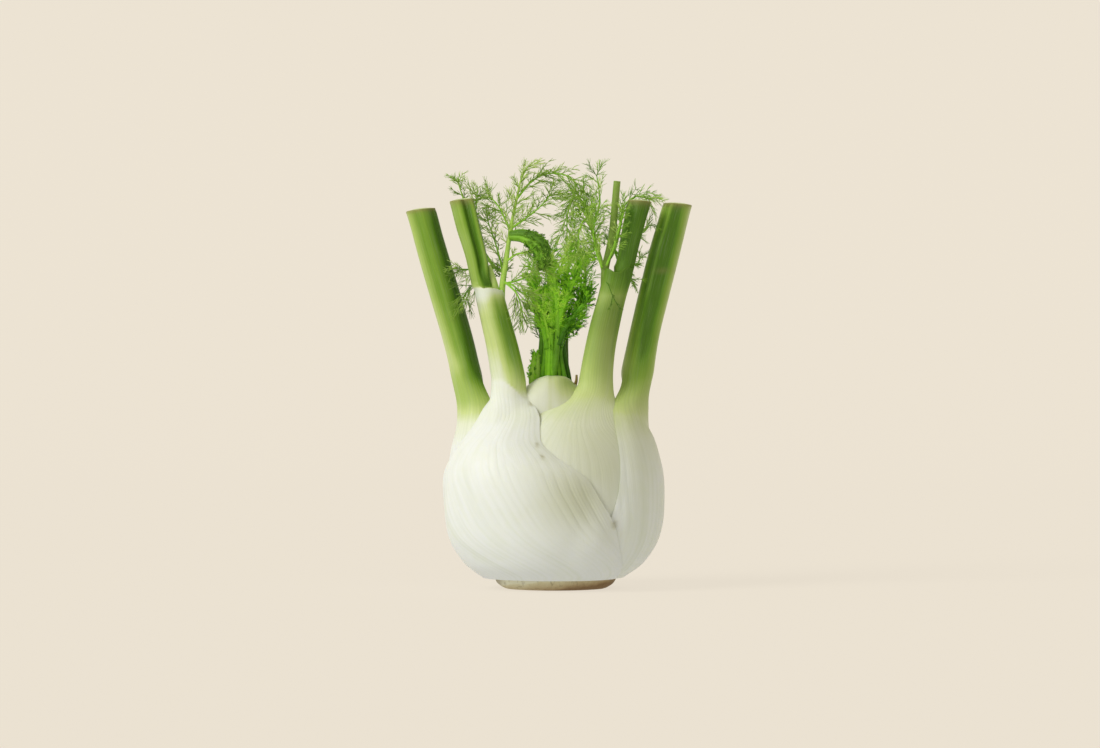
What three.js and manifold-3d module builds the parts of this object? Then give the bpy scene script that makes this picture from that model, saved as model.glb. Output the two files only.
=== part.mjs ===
// A trimmed Florence fennel bulb that stands on its cut base: swollen leaf bases wrapped round a heart,
// four cut stalks in a fan, and the feathery fronds that grow between them.
// Millimetres, +Z up, the front faces -Y. The origin is the middle of the flat cut under the bulb.
import * as THREE from "three";
import { mergeVertices } from "three/addons/utils/BufferGeometryUtils.js";
import Module from "manifold-3d";

const wasm = await Module();
wasm.setup();

// ---- Driving dimensions ------------------------------------------------------------------------

const GAP = 0.4; // clearance between neighbouring pieces
const BASE_HEIGHT = 5; // cut stem plate under the bulb
const LEAF_FOOT = BASE_HEIGHT + GAP; // leaves and heart start here
const MARGIN = 1.8; // how far a leaf's thin edge stands above the leaf below it
const RIBS = 11; // veins raised on each leaf
const RIB_DEPTH = 0.5; // valley between two veins
const INWARD = 12; // how far a leaf reaches in before its neighbours are cut from it
const INNER_COLUMNS = 5; // points across a leaf's plain inner face
const STALK_WRAP = 150; // degrees of a stalk that the ribbed outer face covers, each way
const MARGIN_RADIUS = 24; // smallest distance of a leaf margin from the axis
const FADE = 9; // degrees over which a hidden leaf edge is smoothed out in the leaf above it
const CORE_RADIUS = 0.62; // slim cores of the feathery leaves
const NEEDLE_RADIUS = 0.22; // half the thickness of a needle half way along
const NEEDLE_BASE = 0.8; // length of the step that a needle grows from
const WHORL_STEP = 4.6; // spacing of the whorls of needles
const BARE_STEP = 7; // spacing of the rings on a bare foot
const LIMB_SIDES = 4;
const LIMB_TWIST = 0.3; // turn from one ring to the next, in radians
const OWN_ROOM = 0.1; // clear room between branches of one frond
const OTHER_ROOM = 0.45; // and between a frond and its neighbours
const MOUTH_REACH = 0.84; // share of a stalk's height that the hole of its open mouth runs up to
const TRIES = 5; // turns that a needle or twig tries before it is left out

// The rolled heart under the four big leaves: height, middle x, half width, half depth.
const BODY = smoothTable([
  [0, 0, 18, 16],
  [5, 0, 25.6, 21.4],
  [10, 0.3, 32.6, 26.8],
  [15, 0.5, 36.6, 29.6],
  [22, 0.5, 40.2, 31.7],
  [31, 0.2, 42.7, 33],
  [42, -0.4, 43.8, 33],
  [53, -1, 44.1, 31],
  [64, -1.2, 42.3, 27],
  [74, -0.9, 40.1, 22],
  [84, -0.2, 39.2, 17],
  [100, 0, 38.8, 13],
]);

// The heart's own top: height, middle x, middle y, half width, half depth.
const CROWN = smoothTable([
  [64, -1.2, 0, 42.3, 27],
  [72, -1.2, 0, 36.5, 23.5],
  [80, -1.2, 0, 28.5, 19],
  [86, -1.2, -1, 21.5, 16.6],
  [91, -1.2, -2.8, 14.8, 13.6],
  [95, -0.9, -4.8, 9.8, 10],
  [97.3, -0.1, -6.2, 6.8, 7],
  [98.4, 0.8, -7, 4, 4],
]);

// The four leaves, innermost first.
// blend: the heights between which the sheath draws together into its stalk.
// margins: height, then the bearings of the left and right edge, in degrees from the front to the right.
// stalk: height, middle x, middle y, half width across, half depth outwards.
const LEAVES = [
  {
    name: "leaf_right_inner",
    thickness: 3.4,
    bearing: 18,
    blend: [80, 101],
    margins: smoothTable([
      [5, -78, 160],
      [20, -74, 155],
      [41, -60, 138],
      [52, -50, 122],
      [64, -36, 98],
      [75, -17, 65],
      [84, -4, 52],
      [94, 10, 50],
    ]),
    stalk: smoothTable([
      [86, 18.3, -8.5, 9.1, 7.4],
      [97, 18.9, -8, 8.1, 6.9],
      [109, 20.5, -7.5, 7.5, 6.6],
      [121, 22.9, -7, 7.3, 6.4],
      [133, 25.9, -6.5, 7, 6.2],
      [143.5, 28.7, -6, 7.3, 6],
      [145.6, 29.1, -6, 7.1, 5.9],
      [146.6, 31.4, -6, 5.1, 5],
      [160, 34.5, -5.5, 5.1, 5],
      [178, 38.7, -5, 5.8, 5.4],
    ]),
    stalkRows: [110, 124, 136, 144, 145.6, 146.6, 161],
    top: { height: 177.6, tilt: -0.06 },
    socket: { x: 22.7, y: -7, radius: 2.4, floor: 138 },
    colour: 0xe3e8cf,
  },
  {
    name: "leaf_left_outer",
    thickness: 4.6,
    bearing: -90,
    blend: [70, 101],
    margins: smoothTable([
      [5, -222, 30],
      [20, -216, 20],
      [31, -207, 9],
      [41, -196, -1],
      [52, -182, -13],
      [64, -168, -27],
      [75, -148, -38],
      [86, -126, -43],
      [96, -110, -52],
    ]),
    stalk: smoothTable([
      [86, -38.6, 3, 7.6, 8.7],
      [101, -41.6, 3, 6.8, 7.4],
      [115, -45, 3, 6.6, 7.4],
      [133, -50.1, 3, 6.5, 7.4],
      [156, -57, 3, 6.4, 7.3],
      [175, -62.3, 3, 6.2, 7],
    ]),
    stalkRows: [114, 130, 152],
    top: { height: 174, tilt: 0.13 },
    colour: 0xdfe8c6,
  },
  {
    name: "leaf_right_outer",
    thickness: 4.2,
    bearing: 90,
    blend: [79, 101],
    margins: smoothTable([
      [5, 20, 222],
      [20, 25, 208],
      [31, 31, 194],
      [43, 37, 178],
      [55, 40, 164],
      [66, 41, 150],
      [77, 40, 132],
      [87, 38.5, 114],
      [96, 50, 102],
    ]),
    stalk: smoothTable([
      [86, 37, 3, 7.6, 8.3],
      [97, 37.8, 3, 7.1, 7.9],
      [115, 41, 3, 6.6, 7.3],
      [133, 45.2, 3, 6.5, 7.4],
      [156, 50.9, 3, 6.5, 7.4],
      [177, 56.7, 3, 6.2, 6.8],
    ]),
    stalkRows: [114, 132, 154],
    top: { height: 176.6, tilt: -0.07 },
    colour: 0xdbe2c4,
  },
  {
    name: "leaf_left_inner",
    thickness: 4.4,
    bearing: -28,
    blend: [80, 101],
    margins: smoothTable([
      [5, -104, 64],
      [12, -108, 54],
      [20, -110, 43],
      [31, -107, 33],
      [41, -101, 26],
      [52, -90, 18],
      [60, -78, 4],
      [67, -67, -6],
      [73, -59, -8],
      [79, -53, -9],
      [85, -50, -13],
      [90, -48, -17],
      [96, -45, -16],
    ]),
    stalk: smoothTable([
      [86, -21.3, -9.5, 10.3, 7.6],
      [97, -21.6, -8.5, 8.7, 7.2],
      [110, -23.9, -8, 7.9, 7],
      [121, -26.6, -7.5, 7.5, 6.9],
      [133, -29.6, -7, 7.2, 6.6],
      [137.4, -30.5, -7, 7, 6.4],
      [138.6, -33.2, -7, 5.3, 4.8],
      [152, -36, -6.5, 5.6, 4.8],
      [165, -39.6, -6, 6.1, 4.9],
      [178.5, -42.9, -5.5, 6, 5],
    ]),
    stalkRows: [110, 122, 132, 137.4, 138.6, 152],
    top: { height: 178, tilt: 0.1 },
    socket: { x: -24.4, y: -7, radius: 2.4, floor: 130 },
    colour: 0xe9edda,
  },
];

const COLOURS = { cut: 0xa98d63, heart: 0xdfe3c9, frond: 0x4c8a24 };
const SHEATH_ROWS = [LEAF_FOOT, 9, 14, 21, 31, 43, 54, 64, 73, 80, 87, 94, 101];

// The plain oval hole in the crown that the young shoots stand in.
const NEST = { x: -0.8, y: 2.6, halfWidth: 9.6, halfDepth: 6, floor: 84, filledTo: 91, open: 110 };

// ---- Geometry helpers --------------------------------------------------------------------------

// Reads rows of [height, value, ...] at any height, along smooth cubic curves.
function smoothTable(rows) {
  const last = rows.length - 1;
  const slope = (i, c) => {
    const before = rows[Math.max(i - 1, 0)];
    const after = rows[Math.min(i + 1, last)];
    return (after[c] - before[c]) / (after[0] - before[0]);
  };
  return (height) => {
    const h = Math.min(Math.max(height, rows[0][0]), rows[last][0]);
    let i = 0;
    while (i < last - 1 && rows[i + 1][0] < h) i += 1;
    const span = rows[i + 1][0] - rows[i][0];
    const s = (h - rows[i][0]) / span;
    const hermite = [2 * s ** 3 - 3 * s ** 2 + 1, s ** 3 - 2 * s ** 2 + s, s ** 3 - s ** 2];
    return rows[i].slice(1).map((value, k) => {
      const next = rows[i + 1][k + 1];
      return (
        hermite[0] * value +
        (1 - hermite[0]) * next +
        span * (hermite[1] * slope(i, k + 1) + hermite[2] * slope(i + 1, k + 1))
      );
    });
  };
}

const { degToRad, radToDeg, smoothstep, lerp } = THREE.MathUtils;

// A ring moved down, so that a cutting shape runs past the foot of what it cuts.
function lowered(ring) {
  return ring.map((p) => p.clone().setZ(p.z - 1));
}

// Triangles over a flat ring, in the ring's own order.
function capFaces(ring) {
  const normal = new THREE.Vector3();
  ring.forEach((p, i) => {
    const q = ring[(i + 1) % ring.length];
    normal.x += (p.y - q.y) * (p.z + q.z);
    normal.y += (p.z - q.z) * (p.x + q.x);
    normal.z += (p.x - q.x) * (p.y + q.y);
  });
  const across = new THREE.Quaternion().setFromUnitVectors(
    normal.normalize(),
    new THREE.Vector3(0, 0, 1),
  );
  const flat = ring.map((p) => p.clone().applyQuaternion(across));
  return THREE.ShapeUtils.triangulateShape(
    flat.map((p) => new THREE.Vector2(p.x, p.y)),
    [],
  );
}

// A closed skin through a stack of rings that run anticlockwise as seen from the last ring.
function loft(rings) {
  const n = rings[0].length;
  const faces = [];
  for (let row = 0; row + 1 < rings.length; row += 1) {
    for (let i = 0; i < n; i += 1) {
      const [a, b] = [row * n + i, row * n + ((i + 1) % n)];
      faces.push(a, b, b + n, a, b + n, a + n);
    }
  }
  const top = (rings.length - 1) * n;
  for (const [a, b, c] of capFaces(rings[0])) faces.push(a, c, b);
  for (const [a, b, c] of capFaces(rings.at(-1))) faces.push(top + a, top + b, top + c);
  return new THREE.BufferGeometry().setFromPoints(rings.flat()).setIndex(faces);
}

// three.js geometry to a manifold-3d solid and back.
function toSolid(geometry) {
  const bare = new THREE.BufferGeometry()
    .setAttribute("position", geometry.getAttribute("position"))
    .setIndex(geometry.index);
  const merged = mergeVertices(bare, 1e-4);
  const mesh = new wasm.Mesh({
    numProp: 3,
    vertProperties: merged.attributes.position.array,
    triVerts: new Uint32Array(merged.index.array),
  });
  return new wasm.Manifold(mesh);
}

function toGeometry(solid) {
  const { vertProperties, triVerts } = solid.getMesh();
  return new THREE.BufferGeometry()
    .setAttribute("position", new THREE.BufferAttribute(vertProperties, 3))
    .setIndex(new THREE.BufferAttribute(triVerts, 1));
}

const fuse = (solids) => wasm.Manifold.union(solids);

// The largest body of a solid: scraps that a cut leaves loose are dropped.
function mainBody(solid) {
  return solid.decompose().sort((a, b) => b.volume() - a.volume())[0];
}

// ---- Leaves ------------------------------------------------------------------------------------

const wrapDegrees = (angle) => ((((angle + 180) % 360) + 360) % 360) - 180;

// Leaf bases are thinner where they meet the stem plate.
const footThinning = (z) => lerp(0.85, 1, smoothstep(z, LEAF_FOOT, 25));

// How much a leaf adds to the bulb's surface at a bearing and height.
function cover(leaf, bearing, z) {
  const [left, right] = leaf.margins(z);
  const half = (right - left) / 2;
  const across = Math.abs(wrapDegrees(bearing - (left + right) / 2)) / half;
  const swell = (leaf.thickness - MARGIN) * Math.max(0, 1 - across ** 2);
  const beyond = Math.max(0, across - 1) * half;
  return (MARGIN * (1 - smoothstep(beyond, 0, FADE)) + swell) * footThinning(z);
}

// A point on the wrapped bulb, that far out from the rolled heart.
function onBody(bearing, z, out) {
  const [middle, halfWidth, halfDepth] = BODY(z);
  const angle = degToRad(bearing);
  return new THREE.Vector3(
    middle + (halfWidth + out) * Math.sin(angle),
    -(halfDepth + out) * Math.cos(angle),
    z,
  );
}

// A point on a stalk's round section; turn 0 faces outwards.
function onStalk(leaf, turn, z, grow) {
  const [x, y, across, deep] = leaf.stalk(z);
  const out = degToRad(leaf.bearing);
  const sideways = Math.sin(degToRad(turn)) * (across + grow);
  const outwards = Math.cos(degToRad(turn)) * (deep + grow);
  return new THREE.Vector3(
    x + sideways * Math.cos(out) + outwards * Math.sin(out),
    y + sideways * Math.sin(out) - outwards * Math.cos(out),
    z,
  );
}

// One level section of a leaf: a crescent low down, a stalk's round higher up. grow swells it evenly,
// and leaves out the valleys, for cutting the leaf from its neighbours.
function leafRing(index, z, grow) {
  const leaf = LEAVES[index];
  const [left, right] = leaf.margins(z);
  const drawn = smoothstep(z, ...leaf.blend);
  const under = LEAVES.slice(0, index + 1);
  const point = (across, turn, sheathOut, stalkOut) => {
    const bearing = (left + right) / 2 + (across * (right - left)) / 2;
    const out = under.reduce((sum, each) => sum + cover(each, bearing, z), 0);
    const spread = radToDeg(grow / MARGIN_RADIUS) * across;
    const sheath = onBody(bearing + spread, z, out + sheathOut);
    return sheath.lerp(onStalk(leaf, turn, z, stalkOut), drawn);
  };
  const ring = [];
  for (let i = 0; i <= 2 * RIBS; i += 1) {
    const across = i / RIBS - 1;
    const valley = grow > 0 ? 0 : (i % 2) * RIB_DEPTH;
    ring.push(point(across, across * STALK_WRAP, grow - valley, grow - valley));
  }
  for (let i = 0; i < INNER_COLUMNS; i += 1) {
    const across = 1 - (2 * (i + 0.5)) / INNER_COLUMNS;
    const turn = 180 - across * (180 - STALK_WRAP);
    ring.push(point(across * 0.96, turn, -INWARD - grow, grow - RIB_DEPTH));
  }
  return ring;
}

function leafSolid(index, grow = 0) {
  const { stalk, stalkRows, top } = LEAVES[index];
  const heights = [...SHEATH_ROWS, ...stalkRows, top.height + grow];
  const rings = heights.map((z) => leafRing(index, z, grow));
  if (grow > 0) rings.unshift(lowered(rings[0]));
  const [middle] = stalk(top.height);
  for (const p of rings.at(-1)) p.z += (p.x - middle) * top.tilt;
  return toSolid(loft(rings));
}

// ---- Heart and stem plate ----------------------------------------------------------------------

function oval(x, y, z, halfWidth, halfDepth, sides) {
  return Array.from({ length: sides }, (_, i) => {
    const turn = (i / sides) * Math.PI * 2;
    return new THREE.Vector3(x + halfWidth * Math.cos(turn), y + halfDepth * Math.sin(turn), z);
  });
}

function heartSolid(grow = 0) {
  const sides = 24;
  const bodyRows = [LEAF_FOOT, 10, 17, 28, 42, 54];
  const crownRows = [64, 72, 80, 86, 91, 95, 97.3, 98.4];
  const rings = [
    ...bodyRows.map((z) => {
      const [middle, halfWidth, halfDepth] = BODY(z);
      return oval(middle, 0, z, halfWidth + grow, halfDepth + grow, sides);
    }),
    ...crownRows.map((z) => {
      const [x, y, halfWidth, halfDepth] = CROWN(z);
      return oval(x, y, z + grow, halfWidth + grow, halfDepth + grow, sides);
    }),
  ];
  if (grow > 0) rings.unshift(lowered(rings[0]));
  return toSolid(loft(rings));
}

// The knife cut through the stem: a low plate, a little uneven round its rim.
function stemPlate() {
  const sides = 26;
  const uneven = (ring, depth) =>
    ring.map((p, i) => {
      const scale = 1 + depth * Math.sin(i * 2.4) * Math.cos(i * 0.9);
      return new THREE.Vector3(p.x * scale, p.y * scale, p.z);
    });
  return loft([
    oval(0, 0, 0, 22.8, 19.2, sides),
    uneven(oval(0, 0, 0.6, 24.2, 20.4, sides), 0.02),
    uneven(oval(0, 0, 2.6, 26.8, 22.4, sides), 0.02),
    oval(0, 0, BASE_HEIGHT, 28, 23.4, sides),
  ]);
}

// ---- Fronds ------------------------------------------------------------------------------------

// Seeded random numbers from 0 to 1.
function randomFrom(seed) {
  let state = seed >>> 0;
  return () => {
    state = (Math.imul(state, 1664525) + 1013904223) >>> 0;
    return state / 4294967296;
  };
}

// Round bars that stand for what is already there, so that needles can be kept clear of it.
const taken = [];

function takeBar(owner, branch, a, b, radius) {
  const line = new THREE.Line3(a.clone(), b.clone());
  taken.push({ owner, branch, line, middle: line.getCenter(new THREE.Vector3()), radius });
}

// The shortest distance between two short bars, sampled along the first.
function barDistance(line, other) {
  const samples = 8;
  let least = Infinity;
  const p = new THREE.Vector3();
  const q = new THREE.Vector3();
  for (let i = 0; i <= samples; i += 1) {
    line.at(i / samples, p);
    other.closestPointToPoint(p, true, q);
    least = Math.min(least, p.distanceTo(q));
  }
  return least;
}

// True where a bar keeps off every other piece, and off the other branches of its own frond.
function isClear(owner, parent, a, b, radius) {
  const line = new THREE.Line3(a, b);
  const middle = line.getCenter(new THREE.Vector3());
  return taken.every((bar) => {
    if (bar.branch === parent) return true;
    const apart = radius + bar.radius + (bar.owner === owner ? OWN_ROOM : OTHER_ROOM);
    const reach = (line.distance() + bar.line.distance()) / 2 + apart;
    if (middle.distanceTo(bar.middle) > reach) return true;
    return barDistance(line, bar.line) > apart;
  });
}

for (const leaf of LEAVES) {
  for (let z = 90; z < leaf.top.height; z += 8) {
    const end = Math.min(z + 8, leaf.top.height);
    const [x, y, across, deep] = leaf.stalk(z);
    const [x2, y2] = leaf.stalk(end);
    const radius = Math.max(across, deep);
    takeBar(leaf.name, leaf.name, new THREE.Vector3(x, y, z), new THREE.Vector3(x2, y2, end), radius);
  }
}

// Shares of a limb's length where its rings lie: far apart on the bare foot, then in close pairs.
function limbStations(length, bare) {
  const stations = [];
  for (let d = 0; d < bare * length; d += BARE_STEP) stations.push({ at: d / length });
  for (let d = bare * length; d < length - NEEDLE_BASE; d += WHORL_STEP) {
    stations.push({ at: d / length, whorl: true }, { at: (d + NEEDLE_BASE) / length });
  }
  return [...stations, { at: 1 }];
}

// A limb with whorls of needles, each drawn out of half a side of a short step.
function needledLimb(owner, branch, curve, { radiusAt, bare, reach }, random) {
  const stations = limbStations(curve.getLength(), bare);
  const points = [];
  const normal = new THREE.Vector3(0.3, 1, 0.2).cross(curve.getTangentAt(0)).normalize();
  stations.forEach(({ at }, row) => {
    const ahead = curve.getTangentAt(at);
    normal.addScaledVector(ahead, -normal.dot(ahead)).normalize();
    for (let i = 0; i < LIMB_SIDES; i += 1) {
      const turn = (i / LIMB_SIDES) * Math.PI * 2 + row * LIMB_TWIST;
      const side = normal.clone().applyAxisAngle(ahead, turn);
      points.push(curve.getPointAt(at).addScaledVector(side, radiusAt(at)));
    }
  });
  const faces = [];
  stations.slice(0, -1).forEach(({ at, whorl }, row) => {
    const ahead = curve.getTangentAt(at);
    const middle = curve.getPointAt(at);
    for (let i = 0; i < LIMB_SIDES; i += 1) {
      const [a, b] = [row * LIMB_SIDES + i, row * LIMB_SIDES + ((i + 1) % LIMB_SIDES)];
      faces.push([a, b + LIMB_SIDES, a + LIMB_SIDES]);
      const base = [a, b, b + LIMB_SIDES];
      const foot = points[a].clone().add(points[b]).add(points[b + LIMB_SIDES]).divideScalar(3);
      const aim = points[a].clone().add(points[b]).addScaledVector(middle, -2).normalize();
      aim.addScaledVector(ahead, lerp(0.5, 1.3, random())).normalize();
      const tip = foot.clone().addScaledVector(aim, reach * lerp(0.7, 1.15, random()));
      const clearFrom = foot.clone().addScaledVector(aim, 1);
      if (!whorl || !isClear(owner, branch, clearFrom, tip, NEEDLE_RADIUS)) {
        faces.push(base);
        continue;
      }
      takeBar(owner, `${branch}/${taken.length}`, clearFrom, tip, NEEDLE_RADIUS);
      points.push(tip);
      base.forEach((corner, k) => faces.push([corner, base[(k + 1) % 3], points.length - 1]));
    }
  });
  const ends = points.length;
  points.push(curve.getPointAt(0));
  points.push(curve.getPointAt(1).addScaledVector(curve.getTangentAt(1), reach * 0.6));
  const last = (stations.length - 1) * LIMB_SIDES;
  for (let i = 0; i < LIMB_SIDES; i += 1) {
    const next = (i + 1) % LIMB_SIDES;
    faces.push([next, i, ends], [last + i, last + next, ends + 1]);
  }
  return toSolid(new THREE.BufferGeometry().setFromPoints(points).setIndex(faces.flat()));
}

// A side twig, which leans ahead from its parent and is needled all round.
function twig(owner, parent, root, aim, reach, random) {
  const tip = root.clone().addScaledVector(aim, reach);
  const clearFrom = root.clone().addScaledVector(aim, 2);
  if (!isClear(owner, parent, clearFrom, tip, CORE_RADIUS)) return [];
  const branch = `${parent}/${taken.length}`;
  takeBar(owner, branch, clearFrom, tip, CORE_RADIUS);
  const settings = { radiusAt: () => CORE_RADIUS, bare: 0.34, reach: reach * 0.75 };
  return [needledLimb(owner, branch, new THREE.LineCurve3(root, tip), settings, random)];
}

// The main limb of a feathered stem: its curve, and its room taken before any needle grows.
function plant(owner, feather) {
  const curve = new THREE.CatmullRomCurve3(feather.points.map((p) => new THREE.Vector3(...p)));
  const { radius = 0.8, tip = CORE_RADIUS } = feather;
  const radiusAt = (t) => lerp(radius, tip, t);
  const branch = `${owner}/${taken.length}`;
  const pieces = feather.points.length * 2;
  for (let i = 0; i < pieces; i += 1) {
    const [a, b] = [curve.getPointAt(i / pieces), curve.getPointAt((i + 1) / pieces)];
    takeBar(owner, branch, a, b, radiusAt(i / pieces));
  }
  return { ...feather, owner, branch, curve, radiusAt };
}

// Grows a planted limb's twigs and needles past its bare foot.
function grow({ owner, branch, curve, radiusAt, bare = 0.2, twigs = 0, reach = 7 }, random) {
  const solids = [];
  for (let i = 0; i < twigs; i += 1) {
    const at = lerp(bare, 0.95, (i + 0.4) / twigs);
    const root = curve.getPointAt(at);
    const ahead = curve.getTangentAt(at);
    const across = new THREE.Vector3(0.1, 1, 0.2).cross(ahead).normalize();
    for (let attempt = 0; attempt < TRIES; attempt += 1) {
      const side = across.clone().applyAxisAngle(ahead, i * 2.7 + attempt * 1.2 + 0.6 * random());
      const aim = side.addScaledVector(ahead, lerp(0.7, 1.1, random())).normalize();
      const grown = twig(owner, branch, root, aim, reach * lerp(0.9, 1.3, random()), random);
      solids.push(...grown);
      if (grown.length) break;
    }
  }
  return [...solids, needledLimb(owner, branch, curve, { radiusAt, bare, reach }, random)];
}

// Fronds out of the mouth of the left inner stalk.
const LEFT_FEATHERS = [
  // the main stem, with a node from which its branches part
  {
    points: [
      [-24.5, -7, 130.5], [-24.2, -7, 138], [-22.5, -5, 150], [-20.2, -2, 166], [-17.4, 1, 180],
      [-15.6, 2, 188], [-12.6, 2, 194],
    ],
    radius: 1.9, twigs: 5, bare: 0.45,
  },
  // the arch over the middle
  {
    points: [
      [-17.6, 1, 179], [-11, 4, 187], [-4.6, 5, 190.6], [2.3, 5, 190.8], [7.8, 4, 188.4],
      [11, 3, 183],
    ],
    twigs: 5, bare: 0.15, reach: 7,
  },
  {
    points: [
      [-20.6, -2.5, 164], [-23.6, -1, 171], [-27, 0, 177], [-30.5, 1, 180],
    ],
    twigs: 2,
  },
  {
    points: [
      [-20.4, -2.2, 165], [-12.4, -5, 170.5], [-6.9, -6, 175], [-2.5, -6, 180],
    ],
    twigs: 2,
  },
  // the drooping branch
  {
    points: [
      [-20.8, -3, 162], [-13.8, -7, 163], [-7.8, -10, 160.5], [-5, -12.5, 155.5],
      [-4.6, -13.5, 149],
    ],
    twigs: 4,
  },
  {
    points: [
      [-23.6, -6, 143], [-25.5, 0, 152], [-28.5, 2.5, 162], [-31, 3, 169],
    ],
    twigs: 2,
  },
  {
    points: [
      [-24, -6.5, 139.5], [-16.1, -9, 141.5], [-10.1, -11, 144.5], [-6, -12, 146],
    ],
    twigs: 2,
  },
  {
    points: [
      [-23.4, -7, 141], [-17.5, -13, 135], [-15.4, -14, 129], [-14.8, -14, 125],
    ],
    bare: 0.4,
  },
  // behind the stalk: out to its left and up past its cut top
  {
    points: [
      [-23.2, -6, 145], [-28, 3, 148], [-34, 6, 157], [-38.5, 6, 168], [-42.5, 5, 180],
      [-44.8, 4, 187],
    ],
    radius: 1.1, twigs: 4, bare: 0.35,
  },
  {
    points: [
      [-35, 6, 159], [-36.5, 5, 171], [-36, 4, 180],
    ],
    bare: 0.5, reach: 7,
  },
  {
    points: [
      [-27, 2, 147.5], [-35, 4, 146], [-40, 0, 146.5], [-43.5, -4, 146.5],
    ],
    bare: 0.5, reach: 7,
  },
  {
    points: [
      [-29, 3.5, 149], [-36, 3, 141], [-40, -3, 137], [-42, -6, 133.5],
    ],
    bare: 0.5, reach: 7,
  },
];

// Fronds and a thin cut leaf stalk out of the mouth of the right inner stalk.
const RIGHT_FEATHERS = [
  {
    points: [
      [22.6, -7, 138.6], [22.9, -7, 146], [25.8, -7.5, 160], [28.4, -8, 186.6],
    ],
    radius: 1.9, tip: 1.7, bare: 1, reach: 0,
  },
  // the frond that arches to the left and hangs
  {
    points: [
      [22.7, -7, 144], [19.5, -2, 156], [16.5, 1, 167], [13, 2, 177], [9, 1, 180], [6, -1, 173],
      [5.4, -3, 164],
    ],
    radius: 1.1, twigs: 6, bare: 0.25,
  },
  {
    points: [
      [17, 0.5, 165], [13.4, -4, 169], [11, -7, 163], [10.6, -8, 154],
    ],
    twigs: 2,
  },
  {
    points: [
      [16.6, 1, 167], [20.5, 3, 176], [20.2, 3, 184], [19.2, 3, 190],
    ],
    twigs: 3,
  },
  {
    points: [
      [13.8, 2, 175], [13.6, 9, 179], [10.5, 12, 182],
    ],
    twigs: 1, reach: 7,
  },
  // behind the right inner stalk
  {
    points: [
      [23.2, -6, 149], [27, 0, 155], [30, 3.5, 166], [32, 4, 176], [38, 4, 180.5],
      [43.5, 3, 179],
    ],
    radius: 1, twigs: 4, bare: 0.3,
  },
  {
    points: [
      [29, 2.5, 162], [36, 5, 162], [41, 4, 164], [43.5, 2, 167],
    ],
    bare: 0.4, reach: 6,
  },
  {
    points: [
      [27, 0.5, 156], [33, 5, 150], [37.5, 3, 149], [39.5, 0, 152],
    ],
    bare: 0.4, reach: 5,
  },
  {
    points: [
      [27.5, 1, 155], [31, 4, 146], [35.5, 1, 141.5],
    ],
    bare: 0.5, reach: 5,
  },
];

// The young shoots: a tight bunch in the crown's nest that leans and spreads higher up.
const SHOOT_FEATHERS = [
  {
    points: [
      [-7.4, 2.6, 88], [-7, 2.4, 105], [-6.9, 1, 122], [-8, -1, 138], [-10, -2, 148],
    ],
    radius: 1.9, twigs: 5, bare: 0.5, reach: 6,
  },
  {
    points: [
      [-3.4, 0.2, 88], [-3.8, 0, 108], [-1.8, -3, 122], [-1.4, -5, 136], [-3.2, -6, 150],
    ],
    radius: 1.9, twigs: 5, bare: 0.45, reach: 6,
  },
  {
    points: [
      [-2.8, 5.4, 88], [-2.8, 6, 108], [-3.6, 8, 126], [-3, 10, 142], [-2, 11, 154],
    ],
    radius: 1.9, twigs: 4, bare: 0.45, reach: 6,
  },
  {
    points: [
      [1.4, 1.2, 88], [2, 1, 108], [2.6, 1, 124], [5, 2, 140], [7.4, 3, 156],
    ],
    radius: 1.9, twigs: 5, bare: 0.45, reach: 6,
  },
  {
    points: [
      [5.6, 3.4, 88], [5.2, 4, 106], [7, 5, 119], [11.5, 4, 130], [14, 3, 142], [13.6, 3, 152],
    ],
    radius: 1.9, twigs: 5, bare: 0.42, reach: 6,
  },
  {
    points: [
      [2, 0.9, 106], [5.6, -3, 117], [10, -6, 124], [13, -8, 131], [12, -9, 138],
    ],
    radius: 1.2, twigs: 3, bare: 0.3, reach: 6,
  },
  {
    points: [
      [-7.4, 2.6, 90], [-8, 1.6, 101], [-9.4, 0.6, 110],
    ],
    radius: 2.2, tip: 1, bare: 1, reach: 0,
  },
];

// ---- Assembly ----------------------------------------------------------------------------------

function hole({ x, y, radius, floor }, ceiling) {
  return toSolid(loft([oval(x, y, floor, radius, radius, 10), oval(x, y, ceiling, radius, radius, 10)]));
}

function material(colour, roughness = 0.45) {
  return new THREE.MeshStandardMaterial({ color: colour, roughness, metalness: 0 });
}

const fennel = new THREE.Group();

function addPiece(name, geometry, colour, roughness) {
  const mesh = new THREE.Mesh(geometry, material(colour, roughness));
  mesh.name = name;
  fennel.add(mesh);
}

addPiece("stem_plate", stemPlate(), COLOURS.cut, 0.8);

const nest = loft([
  oval(NEST.x, NEST.y, NEST.floor, NEST.halfWidth, NEST.halfDepth, 16),
  oval(NEST.x, NEST.y, NEST.open, NEST.halfWidth, NEST.halfDepth, 16),
]);
addPiece("heart", toGeometry(mainBody(heartSolid().subtract(toSolid(nest)))), COLOURS.heart);

// Each leaf is cut by everything it wraps.
const wrapped = [heartSolid(GAP)];
LEAVES.forEach((leaf, index) => {
  let solid = mainBody(leafSolid(index).subtract(fuse(wrapped)));
  if (leaf.socket) solid = solid.subtract(hole(leaf.socket, leaf.top.height * MOUTH_REACH));
  addPiece(leaf.name, toGeometry(solid), leaf.colour);
  wrapped.push(leafSolid(index, GAP));
});

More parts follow.
